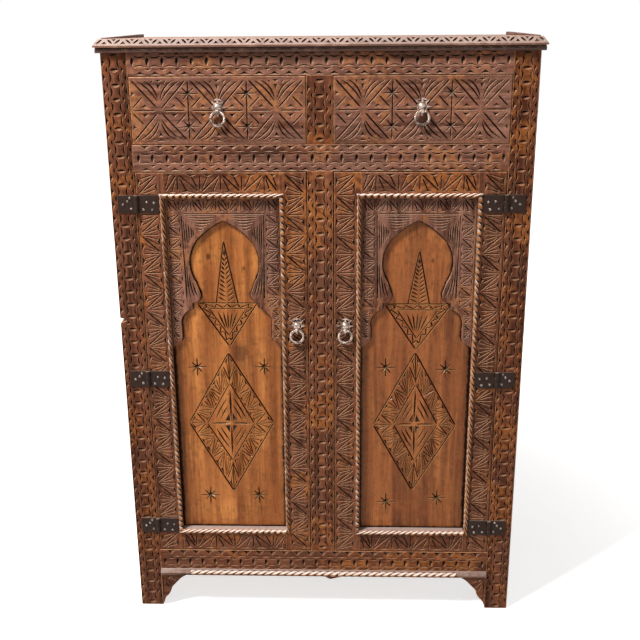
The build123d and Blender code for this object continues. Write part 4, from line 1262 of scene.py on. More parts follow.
def drawer_cuts(length, height, rng):
    """Cuts of a drawer front, from its lower left corner."""
    mid = height / 2
    cell = length / 6
    cuts = []
    for k in range(3):
        x = cell * (2 * k + 1)
        for sx in (-1, 1):
            for sy in (-1, 1):
                corner = (x + sx * (cell - 2.5), mid + sy * (mid - 4.5))
                cuts += groove((x + sx * 2.6, mid + sy * 2.9), corner, 3.8, 2.8, taper=7)
                for reach, bow, root in ((0.78, 4.5, 0.24), (0.55, 6.5, 0.3)):
                    start = (x + sx * 2.2, mid + sy * mid * root)
                    end = (x + sx * cell * reach, mid + sy * (mid - 6.0))
                    cuts += leaf(start, end, 3.9, 2.7, bow=sx * sy * bow, steps=8, point=0.45)
                cuts += groove((x + sx * 5.5, mid), (x + sx * (cell - 4.0), mid), 3.6, 2.6, taper=6)
                middle = x + sx * cell / 2
                half, foot, rise = 8.4, 4.8, 7.6
                cuts += pit(
                    ((middle - half, mid + sy * foot), (middle + half, mid + sy * foot),
                     (middle, mid + sy * (foot + rise))),
                    (middle, mid + sy * 9.4), 2.6,
                )
                cuts += groove(
                    (x + sx * (cell - 2.8), mid + sy * 3.4), (x + sx * (cell - 26.0), mid + sy * 27.5),
                    3.4, 2.4, taper=6,
                )
        for sy in (-1, 1):
            edge = mid + sy * (mid - 5.0)
            cuts += pit(((x - 9.0, edge), (x + 9.0, edge), (x, edge - sy * 6.0)), (x, edge - sy * 1.8), 1.8)
            cuts += pit(
                ((x - 5.5, edge - sy * 8.5), (x + 5.5, edge - sy * 8.5), (x, edge - sy * 20.0)),
                (x, edge - sy * 11.5), 1.9,
            )
            for sx in (-1, 1):
                cuts += pit(
                    ((x + sx * 9.5, edge - sy * 3.0), (x + sx * 16.5, edge - sy * 1.0),
                     (x + sx * 11.0, edge - sy * 8.5)),
                    (x + sx * 12.0, edge - sy * 3.8), 1.5,
                )
    for k in (1, 2):
        x = cell * 2 * k
        cuts += groove((x, 5.0), (x, height - 5.0), 3.4, 2.5, taper=8)
        for share in (0.26, 0.75):
            place = (x, height * share)
            cuts += star(place, (22.0, 17.0, 19.0, 17.0), rng)
    for x, sx in ((3.2, 1), (length - 3.2, -1)):
        for share in (0.25, 0.75):
            z = height * share
            cuts += pit(((x, z - 5.5), (x, z + 5.5), (x + sx * 8.0, z)), (x + sx * 2.2, z), 1.8)
    return cuts


for side_name, _ in SIDES:
    node = f"drawer_{side_name}_front"
    low, high = box_mm(node)
    rng = random.Random("drawer " + side_name)
    length, height = high.x - low.x, high.z - low.z
    outline = [(0, 0), (length, 0), (length, height), (0, height)]
    shape = carve_board(
        f"carved_{node}", outline, drawer_cuts(length, height, rng), high.y - low.y,
        lambda u, v, depth: (low.x + u, low.y + depth, low.z + v), bevel=1.2,
    )
    settle(make_piece(f"carved_{node}", *shape, "x", faded_wood), f"drawer_{side_name}", "frame_wood", node)
print("drawer fronts carved")

# %% [markdown]
# ## Geometry Nodes as a maker's jig
# The twisted mouldings, the nails and the ribbed rings each repeat one form many times. A node
# tree makes such a form from a few sizes, the way a jig does. The helper below runs a tree on a
# throw-away object and keeps the result as a plain mesh.

# %% Run a geometry tree


def grow(name, tree, source=None, **sizes):
    """The mesh that a geometry tree makes from the given sizes, with its faces outwards."""
    host = bpy.data.objects.new(name + "_host", source or bpy.data.meshes.new(name + "_host"))
    bpy.context.scene.collection.objects.link(host)
    modifier = host.modifiers.new("jig", "NODES")
    modifier.node_group = tree
    for item in tree.interface.items_tree:
        key = item.name.replace(" ", "_")
        if item.item_type == "SOCKET" and item.in_out == "INPUT" and key in sizes:
            modifier[item.identifier] = sizes[key]
    mesh = bpy.data.meshes.new_from_object(host.evaluated_get(bpy.context.evaluated_depsgraph_get()))
    host.modifiers.remove(modifier)
    bpy.data.objects.remove(host)
    mesh.name = name
    shape = bmesh.new()
    shape.from_mesh(mesh)
    bmesh.ops.recalc_face_normals(shape, faces=shape.faces)
    shape.to_mesh(mesh)
    shape.free()
    return mesh


def grown_piece(name, mesh, grain_axis, material, dusty=1.0):
    """An object for a mesh that a tree made."""
    piece = bpy.data.objects.new(name, mesh)
    bpy.context.scene.collection.objects.link(piece)
    finish_surface(piece, grain_axis, material, smooth=True, dusty=dusty, dust_and_sheen_from=STRAIGHT_ABOVE)
    return piece


# %% [markdown]
# ## The twisted moulding
# A length of rope moulding is a grid wrapped into a tube. One side of the grid runs along the
# moulding and the other across its strands, turned with the twist, so every groove between two
# strands is a row of edges and stays sharp. The ends are cut square or to a mitre.

# %% Twisted moulding tree


ROPE_STRANDS = 2.0
FRAME_ROPE_STEP, BASE_ROPE_STEP = 0.0026, 0.003  # from one ring of points to the next, in metres


def make_rope_tree():
    tree, start, end = start_group(
        "twisted_moulding",
        (("Length", "Float"), ("Radius", "Float"), ("Pitch", "Float"), ("Strands", "Float"),
         ("Depth", "Float"), ("Mitre", "Float"), ("Step", "Float")),
        (("Geometry", "Geometry"),), "GeometryNodeTree",
    )
    size = start.outputs
    steps = math_node(tree, "DIVIDE", size["Length"], size["Step"])
    rows = math_node(tree, "CEIL", math_node(tree, "ADD", steps, 3.0))
    columns = math_node(tree, "MULTIPLY_ADD", size["Strands"], 12.0, 1.0)
    grid = add_node(tree, "GeometryNodeMeshGrid", Size_X=1.0, Size_Y=1.0, Vertices_X=rows, Vertices_Y=columns)
    position = add_node(tree, "GeometryNodeInputPosition").outputs[0]
    at = add_node(tree, "ShaderNodeSeparateXYZ", _0=position).outputs
    last = math_node(tree, "SUBTRACT", rows, 1.0)
    row = math_node(tree, "MULTIPLY", math_node(tree, "ADD", at["X"], 0.5), last)
    wall_rows = math_node(tree, "SUBTRACT", last, 2.0)
    share = math_node(tree, "DIVIDE", math_node(tree, "SUBTRACT", row, 1.0), wall_rows, clamp=True)
    along = math_node(tree, "MULTIPLY", share, size["Length"])
    is_wall = math_node(
        tree, "MULTIPLY", math_node(tree, "GREATER_THAN", row, 0.5),
        math_node(tree, "LESS_THAN", row, math_node(tree, "SUBTRACT", last, 0.5)),
    )
    turn = 2 * math.pi
    around = math_node(tree, "ADD", at["Y"], 0.5)
    strand = math_node(tree, "MULTIPLY", math_node(tree, "MULTIPLY", around, size["Strands"]), turn)
    twist = math_node(tree, "MULTIPLY", math_node(tree, "DIVIDE", along, size["Pitch"]), turn)
    angle = math_node(tree, "DIVIDE", math_node(tree, "SUBTRACT", strand, twist), size["Strands"])
    wave = math_node(tree, "ABSOLUTE", math_node(tree, "COSINE", math_node(tree, "MULTIPLY", strand, 0.5)))
    valley = math_node(tree, "SUBTRACT", 1.0, math_node(tree, "POWER", wave, 0.6))
    shade = math_node(tree, "SUBTRACT", 1.0, wave)
    radius = math_node(
        tree, "MULTIPLY", is_wall,
        math_node(tree, "SUBTRACT", size["Radius"], math_node(tree, "MULTIPLY", valley, size["Depth"])),
    )
    across = math_node(tree, "MULTIPLY", radius, math_node(tree, "COSINE", angle))
    outward = math_node(tree, "MULTIPLY", radius, math_node(tree, "SINE", angle))
    mitred = math_node(
        tree, "MULTIPLY", math_node(tree, "MULTIPLY", across, size["Mitre"]),
        math_node(tree, "MULTIPLY_ADD", share, 2.0, -1.0),
    )
    place = add_node(
        tree, "ShaderNodeCombineXYZ", X=math_node(tree, "ADD", along, mitred), Y=across, Z=outward
    ).outputs[0]
    marked = add_node(
        tree, "GeometryNodeStoreNamedAttribute", {"data_type": "FLOAT"}, Geometry=grid.outputs["Mesh"],
        Name="groove", Value=shade,
    )
    wrapped = add_node(tree, "GeometryNodeSetPosition", Geometry=marked.outputs[0], Position=place)
    closed = add_node(tree, "GeometryNodeMergeByDistance", Geometry=wrapped.outputs[0], Distance=0.00001)
    tree.links.new(closed.outputs[0], end.inputs["Geometry"])
    return tree


rope_tree = make_rope_tree()

# %% [markdown]
# The frame around a panel is four such lengths. They keep the same hand of twist, so each is
# turned into place and never mirrored.

# %% Rope frame tree


def make_rope_frame_tree():
    tree, start, end = start_group(
        "twisted_frame",
        (("Corner", "Vector"), ("Width", "Float"), ("Height", "Float"), ("Radius", "Float"),
         ("Pitch", "Float"), ("Depth", "Float"), ("Material", "Material")),
        (("Geometry", "Geometry"),), "GeometryNodeTree",
    )
    size = start.outputs
    join = tree.nodes.new("GeometryNodeJoinGeometry")
    quarter = math.pi / 2
    top = add_node(tree, "ShaderNodeCombineXYZ", Z=size["Height"]).outputs[0]
    right = add_node(tree, "ShaderNodeCombineXYZ", X=size["Width"]).outputs[0]
    for length, shift, turn, mitre in (
        ("Width", None, (quarter, 0, 0), -1.0), ("Width", top, (quarter, 0, 0), 1.0),
        ("Height", None, (quarter, -quarter, 0), 1.0), ("Height", right, (quarter, -quarter, 0), -1.0),
    ):
        rope = tree.nodes.new("GeometryNodeGroup")
        rope.node_tree = rope_tree
        for label in ("Radius", "Pitch", "Depth"):
            tree.links.new(size[label], rope.inputs[label])
        tree.links.new(size[length], rope.inputs["Length"])
        rope.inputs["Strands"].default_value = ROPE_STRANDS
        rope.inputs["Mitre"].default_value = mitre
        rope.inputs["Step"].default_value = FRAME_ROPE_STEP
        place = size["Corner"]
        if shift:
            moved_on = add_node(tree, "ShaderNodeVectorMath", {"operation": "ADD"}, _0=place, _1=shift)
            place = moved_on.outputs[0]
        turned = add_node(
            tree, "GeometryNodeTransform", Geometry=rope.outputs[0], Translation=place, Rotation=turn
        )
        tree.links.new(turned.outputs[0], join.inputs[0])
    real = add_node(tree, "GeometryNodeRealizeInstances", _0=join.outputs[0])
    stained = add_node(tree, "GeometryNodeSetMaterial", Geometry=real.outputs[0], Material=size["Material"])
    tree.links.new(stained.outputs[0], end.inputs["Geometry"])
    return tree


rope_frame_tree = make_rope_frame_tree()

rope_radius, rope_pitch = rope_width / 2, 12.7
for side_name, _ in SIDES:
    node = f"door_{side_name}_rope_frame"
    low, high = box_mm(node)
    corner = Vector((low.x + rope_radius, low.y + rope_radius, low.z + rope_radius))
    mesh = grow(
        f"twisted_{node}", rope_frame_tree, Corner=tuple(corner * MM),
        Width=(high.x - low.x - rope_width) * MM, Height=(high.z - low.z - rope_width) * MM,
        Radius=rope_radius * MM, Pitch=rope_pitch * MM, Depth=2.8 * MM, Material=rope_wood,
    )
    # pale dust on the upper strands also paints their sheen
    rope = grown_piece(f"twisted_{node}", mesh, "z", rope_wood, dusty=1.15)
    settle(rope, f"door_{side_name}", "frame_wood", node)
    print(node, len(mesh.polygons), "faces")

# %% The rope under the base


def make_single_rope_tree():
    tree, start, end = start_group(
        "twisted_length",
        (("Start", "Vector"), ("Length", "Float"), ("Radius", "Float"), ("Pitch", "Float"),
         ("Depth", "Float"), ("Material", "Material")),
        (("Geometry", "Geometry"),), "GeometryNodeTree",
    )
    rope = tree.nodes.new("GeometryNodeGroup")
    rope.node_tree = rope_tree
    for label in ("Length", "Radius", "Pitch", "Depth"):
        tree.links.new(start.outputs[label], rope.inputs[label])
    rope.inputs["Strands"].default_value = ROPE_STRANDS
    rope.inputs["Step"].default_value = BASE_ROPE_STEP
    turned = add_node(
        tree, "GeometryNodeTransform", Geometry=rope.outputs[0], Translation=start.outputs["Start"],
        Rotation=(math.pi / 2, 0, 0),
    )
    real = add_node(tree, "GeometryNodeRealizeInstances", _0=turned.outputs[0])
    stained = add_node(
        tree, "GeometryNodeSetMaterial", Geometry=real.outputs[0], Material=start.outputs["Material"]
    )
    tree.links.new(stained.outputs[0], end.inputs["Geometry"])
    return tree


low, high = box_mm("base_rope")
mesh = grow(
    "twisted_base_rope", make_single_rope_tree(),
    Start=(low.x * MM, (low.y + high.y) / 2 * MM, (low.z + high.z) / 2 * MM), Length=(high.x - low.x) * MM,
    Radius=(high.z - low.z) / 2 * MM, Pitch=16 * MM, Depth=3.2 * MM, Material=rope_wood,
)
# pale dust on the upper strands also paints their sheen
base_rope = grown_piece("twisted_base_rope", mesh, "x", rope_wood, dusty=1.2)
settle(base_rope, "carcass", "frame_wood", "base_rope")

# %% [markdown]
# ## The top board
# The edge of the top slopes back on three sides and carries a carved zigzag. Each slope is a
# strip of its own, carved flat and tilted into place: depth goes straight inwards and the ends
# are mitred, so the strips meet at the corners and lie on a plain core. The pale dust on the
# slopes also paints their sheen. The level upper face gets a second material, with little dust
# and so little painted sheen, darker than the dusty edge.

# %% Carve the top's edge


def zigzag_cuts(length, height, rng):
    """A zigzag ribbon between two rows of chips, over a plain foot."""
    foot, head, clear, pitch = 3.4, height - 0.9, 4.5, 34.0
    count = max(1, round(length / pitch))
    pitch = (length - 2 * clear) / count
    cuts = []
    for i in range(count):
        left = clear + i * pitch
        peak, right = left + pitch / 2, left + pitch
        half = pitch * rng.uniform(0.14, 0.17)
        cuts += pit(((peak - half, foot), (peak + half, foot), (peak, foot + 6.0)), (peak, foot + 2.6), 3.0)
        for a, b in ((left, peak), (right, peak)):
            low, high = a + (b - a) * 0.12, a + (b - a) * 0.72
            cuts += leaf((low, foot + 0.2), (high, head - 0.2), 4.2, 3.2, steps=4, point=0.35)
        if i:
            half = pitch * rng.uniform(0.13, 0.16)
            corners = ((left - half, head), (left + half, head), (left, head - 5.2))
            cuts += pit(corners, (left, head - 2.0), 1.3)
    return cuts


def carve_top():
    """The top board: a plain core and three carved slopes, as one closed piece each."""
    low, high = box_mm("top_board")
    slope_rise, slope_run, strip_depth = 12.0, 9.0, 4.5
    slope_low = high.z - slope_rise
    slope = math.hypot(slope_rise, slope_run)

    def ring(inset, z):
        """The outline of the core at a height, drawn in on three sides."""
        left, right = low.x + inset, high.x - inset
        return [(left, low.y + inset, z), (right, low.y + inset, z), (right, high.y, z), (left, high.y, z)]

    rings = [
        ring(0, low.z), ring(0, slope_low), ring(strip_depth, slope_low),
        ring(strip_depth + slope_run, high.z),
    ]
    verts = [point for each in rings for point in each]
    polygons = [(3, 2, 1, 0), (12, 13, 14, 15)]
    for k in range(len(rings) - 1):
        for i in range(4):
            j = (i + 1) % 4
            polygons.append((4 * k + i, 4 * k + j, 4 * k + 4 + j, 4 * k + 4 + i))
    shapes = [(verts, polygons, [0.0] * len(verts))]

    wide, deep = high.x - low.x, high.y - low.y

    def mitred(u, depth, length, starts, ends):
        """Turns the mitred ends of a strip inwards with depth, so that strips meet at a corner."""
        reach, fade = 30.0, 20.0  # the turn starts this far from an end, and is full after the fade
        near = min(max((reach - u) / fade, 0.0), 1.0)
        far = min(max((u - length + reach) / fade, 0.0), 1.0)
        return u + depth * (near * starts - far * ends)

    # the strip's length, whether its start and its end are mitred, and (along, inset) to (x, y)
    strips = {
        "front": (wide, 1, 1, lambda along, inset: (low.x + along, low.y + inset)),
        "left": (deep, 0, 1, lambda along, inset: (low.x + inset, high.y - along)),
        "right": (deep, 1, 0, lambda along, inset: (high.x - inset, low.y + along)),
    }
    for label, (length, starts, ends, on_plan) in strips.items():
        rng = random.Random("top " + label)
        outline = [(0, 0), (length, 0), (length - ends * slope_run, slope), (starts * slope_run, slope)]

        def place(u, v, depth):
            plan = on_plan(mitred(u, depth, length, starts, ends), v / slope * slope_run + depth)
            return (*plan, slope_low + v / slope * slope_rise)

        shapes.append(carve_board(
            "top edge " + label, outline, zigzag_cuts(length, slope, rng), strip_depth, place,
            bevel=0.35, wall_shade=0.0,
        ))
    top = make_piece("carved_top_board", *join_shapes(shapes), "x", edge_wood, dust_and_sheen_from=STRAIGHT_ABOVE)
    top.data.materials.append(top_wood)
    least_area = 0.01  # in square metres, more than any level face of the edge has
    for polygon in top.data.polygons:
        if polygon.normal.z > FACES_UP and polygon.area > least_area:
            polygon.material_index = 1
    settle(top, "carcass", "frame_wood", "top_board")


carve_top()

# %% [markdown]
# ## Plain boards
# The sides, the back and the inside are plain boards. They keep the shape of their CAD solids.
# A copy of each gets its corners eased with a small bevel, so that they catch the light, and
# the attributes that the woods read. The grain runs along the longest side of a board.

# %% Dress a plain part


def body_of(node):
    """The body that a CAD node belongs to."""
    for body in ("door_left", "door_right", "drawer_left", "drawer_right"):
        if node.startswith(body):
            return body + "_ring" if node.endswith("pull_ring") else body
    return "carcass"


def open_copy(node):
    """A copy of a CAD node's mesh to work on, in metres, with doubled points merged."""
    shape = bmesh.new()
    shape.from_mesh(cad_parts[node].data)
    bmesh.ops.remove_doubles(shape, verts=shape.verts, dist=0.00001)
    bmesh.ops.dissolve_limit(
        shape, angle_limit=math.radians(0.5), verts=shape.verts, edges=shape.edges, delimit={"NORMAL"}
    )
    return shape


pins_low, pins_high = box_mm("hinge_pins")
pin_x = pins_high.x - (pins_high.y - pins_low.y) / 2
KNUCKLE_REACH = 5.0  # within this of a pin, in mm, the iron stays smooth, so that it can turn
ROUGH_FROM = 3.0  # and this much further on it is as rough as it gets
LONG_EDGE = 6.0  # edges of iron that are longer than this, in mm, are divided
BEVELLED_ANGLE = math.radians(35)


def dress(node, material, slot, bevel, rough=0.0, dusty=1.0):
    """A piece with the shape of a CAD node, eased corners, and a finish of its own."""
    shape = open_copy(node)
    if rough:
        long_edges = [edge for edge in shape.edges if edge.calc_length() > LONG_EDGE * MM]
        bmesh.ops.subdivide_edges(shape, edges=long_edges, cuts=4, use_grid_fill=True)
        for vert in shape.verts:
            wave = noise.noise_vector(vert.co * 160 + Vector((node.count("e"), len(node), 0)))
            from_pin = abs(abs(vert.co.x) / MM - pin_x) - KNUCKLE_REACH
            vert.co += wave * rough * MM * min(max(from_pin / ROUGH_FROM, 0.0), 1.0)
    sharp = [edge for edge in shape.edges if edge.calc_face_angle(0) > BEVELLED_ANGLE]
    bmesh.ops.bevel(
        shape, geom=sharp, offset=bevel * MM, segments=2, profile=0.6, affect="EDGES", clamp_overlap=True
    )
    bmesh.ops.triangulate(shape, faces=[face for face in shape.faces if len(face.verts) > 4])
    bmesh.ops.recalc_face_normals(shape, faces=shape.faces)
    mesh = bpy.data.meshes.new("dressed_" + node)
    shape.to_mesh(mesh)
    shape.free()
    low, high = box_mm(node)
    spans = list(high - low)
    axis = "xyz"[spans.index(max(spans))]
    piece = bpy.data.objects.new("dressed_" + node, mesh)
    bpy.context.scene.collection.objects.link(piece)
    finish_surface(piece, axis, material, smooth=True, dusty=dusty)
    settle(piece, body_of(node), slot, node)


outer_boards = (
    "post_rear_left", "post_rear_right", "gallery_strips", "side_rails", "side_panel_left",
    "side_panel_right", "rear_rails", "top_moulding",
)
inner_boards = (
    "back_panel", "bottom_board", "shelf", "cleats", "drawer_deck", "drawer_guide",
) + tuple(f"drawer_{side_name}_{part}" for side_name, _ in SIDES for part in ("sides", "back", "bottom"))
for node in outer_boards:
    tall = node.startswith(("post", "gallery"))
    wood = {"gallery_strips": faded_wood, "top_moulding": bead_wood}.get(node, plain_wood)
    # the bead's strong dust also paints a highlight along its round top
    dusty = 0.8 if node == "top_moulding" else 0.2
    dress(node, wood, "frame_wood", bevel=1.2 if tall else 0.6, dusty=dusty)
# the base moulding's pale dust also paints the sheen on its upper slope
dress("base_moulding", edge_wood, "frame_wood", bevel=0.6, dusty=0.8)
for node in inner_boards:
    dress(node, inner_wood, "inner_wood", bevel=0.5)

# %% [markdown]
# ## The brackets
# Two shaped brackets stand beside the front legs. Their lower edge is two hollows and a cusp,
# and a few grooves follow it.

# %% Carve the brackets


def polygon_area(corners):
    """Area of an outline, positive if it runs anticlockwise."""
    return sum(a[0] * b[1] - b[0] * a[1] for a, b in zip(corners, corners[1:] + corners[:1])) / 2


def carve_brackets():
    """Both brackets as one piece, from (outwards from the leg, height below the rail)."""
    low, high = box_mm("front_brackets")
    curve = arc_points((62, 0), (49.5, -5.5), (37, -17), 5) + [(37, -17), (22, -33)]
    curve += arc_points((22, -33), (19.5, -43), (9, -57), 5)[1:] + [(9, -57), (0.0, -71)]
    outline = [(0.0, 0.0)] + list(reversed(curve))
    shapes = []
    for side_name, side in SIDES:
        # along the rail and the leg, then three that fan out from the corner, then one chip
        cuts = groove((4, -4), (50, -4), 2.8, 2.2) + groove((4, -6), (4, -58), 2.8, 2.2)
        cuts += groove((7, -9), (25, -28), 3.2, 2.4)
        cuts += groove((18, -8), (34, -16), 3.0, 2.2) + groove((8, -18), (17, -36), 3.0, 2.2)
        cuts += pit(((10, -6.5), (24, -6.5), (16, -12.5)), (16, -8.2), 2.2)
        loop = outline
        if side > 0:
            loop = [(-u, v) for u, v in reversed(outline)]
            cuts = moved(cuts, lambda u, v: (-u, v))
        if polygon_area(loop) < 0:
            loop = loop[::-1]
        leg_x = side * post_inner
        shapes.append(carve_board(
            "bracket " + side_name, loop, cuts, high.y - low.y,
            lambda u, v, depth: (leg_x + u, low.y + depth, high.z + v), bevel=1.0,
        ))
    brackets = make_piece("carved_front_brackets", *join_shapes(shapes), "x", frame_wood)
    settle(brackets, "carcass", "frame_wood", "front_brackets")


carve_brackets()

# %% [markdown]
# ## Iron and nickel
# The hinges were hammered from sheet and blackened. The nails have been rubbed bright. The
# pulls are thin nickel plate over brass, dark in the corners. Every metal is paler where it
# faces up: dust, and a painted highlight along its upper edges.

# %% Metal materials


def make_metal(name, bright, dull, stain, metallic, roughness, dent_size, dent_depth, stain_amount,
               shine=0.5):
    """A worked metal: two shades in fine patches, stained hollows, small dents, and some dust on upward faces
    that also paints a highlight.
    """
    material = bpy.data.materials.new(name)
    material.use_nodes = True
    tree = material.node_tree
    shader = tree.nodes["Principled BSDF"]
    place = add_node(tree, "ShaderNodeTexCoord").outputs["Object"]
    fine = add_node(
        tree, "ShaderNodeTexNoise", Vector=place, Scale=900.0, Detail=4.0, Roughness=0.65
    ).outputs["Fac"]
    broad = add_node(tree, "ShaderNodeTexNoise", Vector=place, Scale=140.0, Detail=3.0).outputs["Fac"]
    dents = add_node(
        tree, "ShaderNodeTexVoronoi", {"feature": "SMOOTH_F1"}, Vector=place, Scale=1.0 / dent_size
    )
    hollow = add_node(tree, "ShaderNodeAttribute", {"attribute_name": "groove"}).outputs["Fac"]
    worked = blend_colours(tree, ramp(tree, fine, 0.35, 0.65), dull, bright)
    mask = math_node(tree, "ADD", ramp(tree, broad, 0.45, 0.68), ramp(tree, hollow, 0.35, 0.9), clamp=True)
    final = blend_colours(tree, math_node(tree, "MULTIPLY", mask, stain_amount), worked, stain)
    # pale on upward faces: dust, which also paints a highlight along the upper edges
    upward = add_node(tree, "ShaderNodeAttribute", {"attribute_name": "upward"}).outputs["Fac"]
    dusty = math_node(tree, "MULTIPLY", ramp(tree, upward, 0.4, 0.9), 0.4)
    dusted_and_sheened = blend_colours(tree, dusty, final, srgb(170, 146, 130))
    tree.links.new(dusted_and_sheened, shader.inputs["Base Color"])
    shader.inputs["Specular IOR Level"].default_value = shine
    shader.inputs["Metallic"].default_value = metallic
    uneven = math_node(tree, "MULTIPLY_ADD", fine, 0.15, roughness - 0.07)
    rough = math_node(tree, "MULTIPLY_ADD", mask, 0.25, uneven)
    tree.links.new(rough, shader.inputs["Roughness"])
    height = math_node(tree, "MULTIPLY_ADD", fine, 0.25, dents.outputs["Distance"])
    relief = add_node(tree, "ShaderNodeBump", Height=height, Strength=0.7, Distance=dent_depth)
    tree.links.new(relief.outputs["Normal"], shader.inputs["Normal"])
    return material


forged_iron = make_metal(
    "forged_iron", bright=srgb(48, 33, 26), dull=srgb(20, 12, 9), stain=srgb(44, 24, 15), metallic=0.05,
    roughness=0.5, dent_size=0.006, dent_depth=0.0012, stain_amount=0.6, shine=0.12,
)
nail_iron = make_metal(
    "nail_iron", bright=srgb(138, 126, 116), dull=srgb(66, 54, 46), stain=srgb(30, 20, 15), metallic=0.7,
    roughness=0.38, dent_size=0.003, dent_depth=0.0003, stain_amount=0.6,
)
aged_nickel = make_metal(
    "aged_nickel", bright=srgb(190, 170, 158), dull=srgb(134, 114, 102), stain=srgb(40, 26, 20),
    metallic=0.85, roughness=0.36, dent_size=0.0025, dent_depth=0.0003, stain_amount=0.9,
)

# %% Hinge leaves, pins and pull mounts

for node in ("hinge_frame_leaves", "hinge_pins") + tuple(f"door_{s}_hinge_leaves" for s, _ in SIDES):
    dress(node, forged_iron, "forged_iron", bevel=0.35, rough=0.0 if node == "hinge_pins" else 0.45)
for node in [f"{kind}_{s}_pull_mount" for kind in ("drawer", "door") for s, _ in SIDES]:
    dress(node, aged_nickel, "aged_nickel", bevel=0.3)

# %% [markdown]
# ## Nails
# Every leaf is held by hand-made nails. The tree sets one domed head on each point it is given,
# turned and sized a little at random from a fixed seed.

# %% Nail tree


def make_nail_tree():
    tree, start, end = start_group(
        "nail_heads",
        (("Geometry", "Geometry"), ("Radius", "Float"), ("Height", "Float"), ("Seed", "Int"),
         ("Material", "Material")),
        (("Geometry", "Geometry"),), "GeometryNodeTree",
    )
    size = start.outputs
    ball = add_node(tree, "GeometryNodeMeshUVSphere", Segments=9, Rings=6, Radius=1.0)
    squash = add_node(tree, "ShaderNodeCombineXYZ", X=size["Radius"], Y=size["Height"], Z=size["Radius"])
    dome = add_node(tree, "GeometryNodeTransform", Geometry=ball.outputs["Mesh"], Scale=squash.outputs[0])
    turn = add_node(
        tree, "FunctionNodeRandomValue", {"data_type": "FLOAT_VECTOR"}, Seed=size["Seed"],
        _0=(-0.2, -3.1, -0.2), _1=(0.2, 3.1, 0.2),
    )
    spread = add_node(
        tree, "FunctionNodeRandomValue", {"data_type": "FLOAT_VECTOR"}, Seed=size["Seed"],
        _0=(0.82, 0.75, 0.82), _1=(1.1, 1.0, 1.1),
    )
    heads = add_node(
        tree, "GeometryNodeInstanceOnPoints", Points=size["Geometry"], Instance=dome.outputs[0],
        Rotation=turn.outputs[0], Scale=spread.outputs[0],
    )
    real = add_node(tree, "GeometryNodeRealizeInstances", _0=heads.outputs[0])
    metal = add_node(tree, "GeometryNodeSetMaterial", Geometry=real.outputs[0], Material=size["Material"])
    tree.links.new(metal.outputs[0], end.inputs["Geometry"])
    return tree


nail_tree = make_nail_tree()


def loose_boxes(node):
    """The lowest and highest corner of each separate solid of a CAD node, in metres."""
    shape = open_copy(node)
    seen, boxes = set(), []
    for vert in shape.verts:
        if vert in seen:
            continue
        stack, part = [vert], []
        seen.add(vert)
        while stack:
            here = stack.pop()
            part.append(here.co.copy())
            for edge in here.link_edges:
                other = edge.other_vert(here)
                if other not in seen:
                    seen.add(other)
                    stack.append(other)
        boxes.append((Vector(map(min, zip(*part))), Vector(map(max, zip(*part)))))
    shape.free()
    return boxes


nail_radius, nail_height = 2.9 * MM, 1.9 * MM
nail_nodes = ["hinge_frame_nails"] + [f"door_{side_name}_hinge_nails" for side_name, _ in SIDES]
for seed, node in enumerate(nail_nodes):
    boxes = loose_boxes(node)
    places = [((a.x + b.x) / 2, a.y + nail_height, (a.z + b.z) / 2) for a, b in boxes]
    points = bpy.data.meshes.new(node + "_places")
    points.from_pydata(places, [], [])
    mesh = grow(
        "hammered_" + node, nail_tree, source=points, Radius=nail_radius, Height=nail_height, Seed=seed + 3,
        Material=nail_iron,
    )
    settle(grown_piece("hammered_" + node, mesh, "z", nail_iron), body_of(node), "nail_iron", node)
    print(node, len(boxes), "nails")

# %% [markdown]
# ## Ribbed rings
# Each pull is a ring cast with small ribs all round. The tree wraps a grid into a ring and
# draws it in between the ribs.

# %% Ring tree


def make_ring_tree():
    tree, start, end = start_group(
        "ribbed_ring",
        (("Centre", "Vector"), ("Radius", "Float"), ("Tube", "Float"), ("Ribs", "Float"), ("Depth", "Float"),
         ("Material", "Material")),
        (("Geometry", "Geometry"),), "GeometryNodeTree",
    )
    size = start.outputs
    around = math_node(tree, "MULTIPLY_ADD", size["Ribs"], 6.0, 1.0)
    grid = add_node(tree, "GeometryNodeMeshGrid", Size_X=1.0, Size_Y=1.0, Vertices_X=around, Vertices_Y=13)
    position = add_node(tree, "GeometryNodeInputPosition").outputs[0]
    at = add_node(tree, "ShaderNodeSeparateXYZ", _0=position).outputs
    turn = 2 * math.pi
    sweep = math_node(tree, "MULTIPLY", math_node(tree, "ADD", at["X"], 0.5), turn)
    wrap = math_node(tree, "MULTIPLY", math_node(tree, "ADD", at["Y"], 0.5), turn)
    beat = math_node(tree, "MULTIPLY", math_node(tree, "MULTIPLY", sweep, size["Ribs"]), 0.5)
    valley = math_node(tree, "SUBTRACT", 1.0, math_node(tree, "ABSOLUTE", math_node(tree, "COSINE", beat)))
    tube = math_node(tree, "SUBTRACT", size["Tube"], math_node(tree, "MULTIPLY", valley, size["Depth"]))
    reach = math_node(
        tree, "ADD", size["Radius"], math_node(tree, "MULTIPLY", tube, math_node(tree, "COSINE", wrap))
    )
    place = add_node(
        tree, "ShaderNodeCombineXYZ", X=math_node(tree, "MULTIPLY", reach, math_node(tree, "COSINE", sweep)),
        Y=math_node(tree, "MULTIPLY", tube, math_node(tree, "SINE", wrap)),
        Z=math_node(tree, "MULTIPLY", reach, math_node(tree, "SINE", sweep)),
    ).outputs[0]
    marked = add_node(
        tree, "GeometryNodeStoreNamedAttribute", {"data_type": "FLOAT"}, Geometry=grid.outputs["Mesh"],
        Name="groove", Value=valley,
    )
    wrapped = add_node(
        tree, "GeometryNodeSetPosition", Geometry=marked.outputs[0], Position=place, Offset=size["Centre"]
    )
    closed = add_node(tree, "GeometryNodeMergeByDistance", Geometry=wrapped.outputs[0], Distance=0.00001)
    real = add_node(tree, "GeometryNodeRealizeInstances", _0=closed.outputs[0])
    metal = add_node(tree, "GeometryNodeSetMaterial", Geometry=real.outputs[0], Material=size["Material"])
    tree.links.new(metal.outputs[0], end.inputs["Geometry"])
    return tree


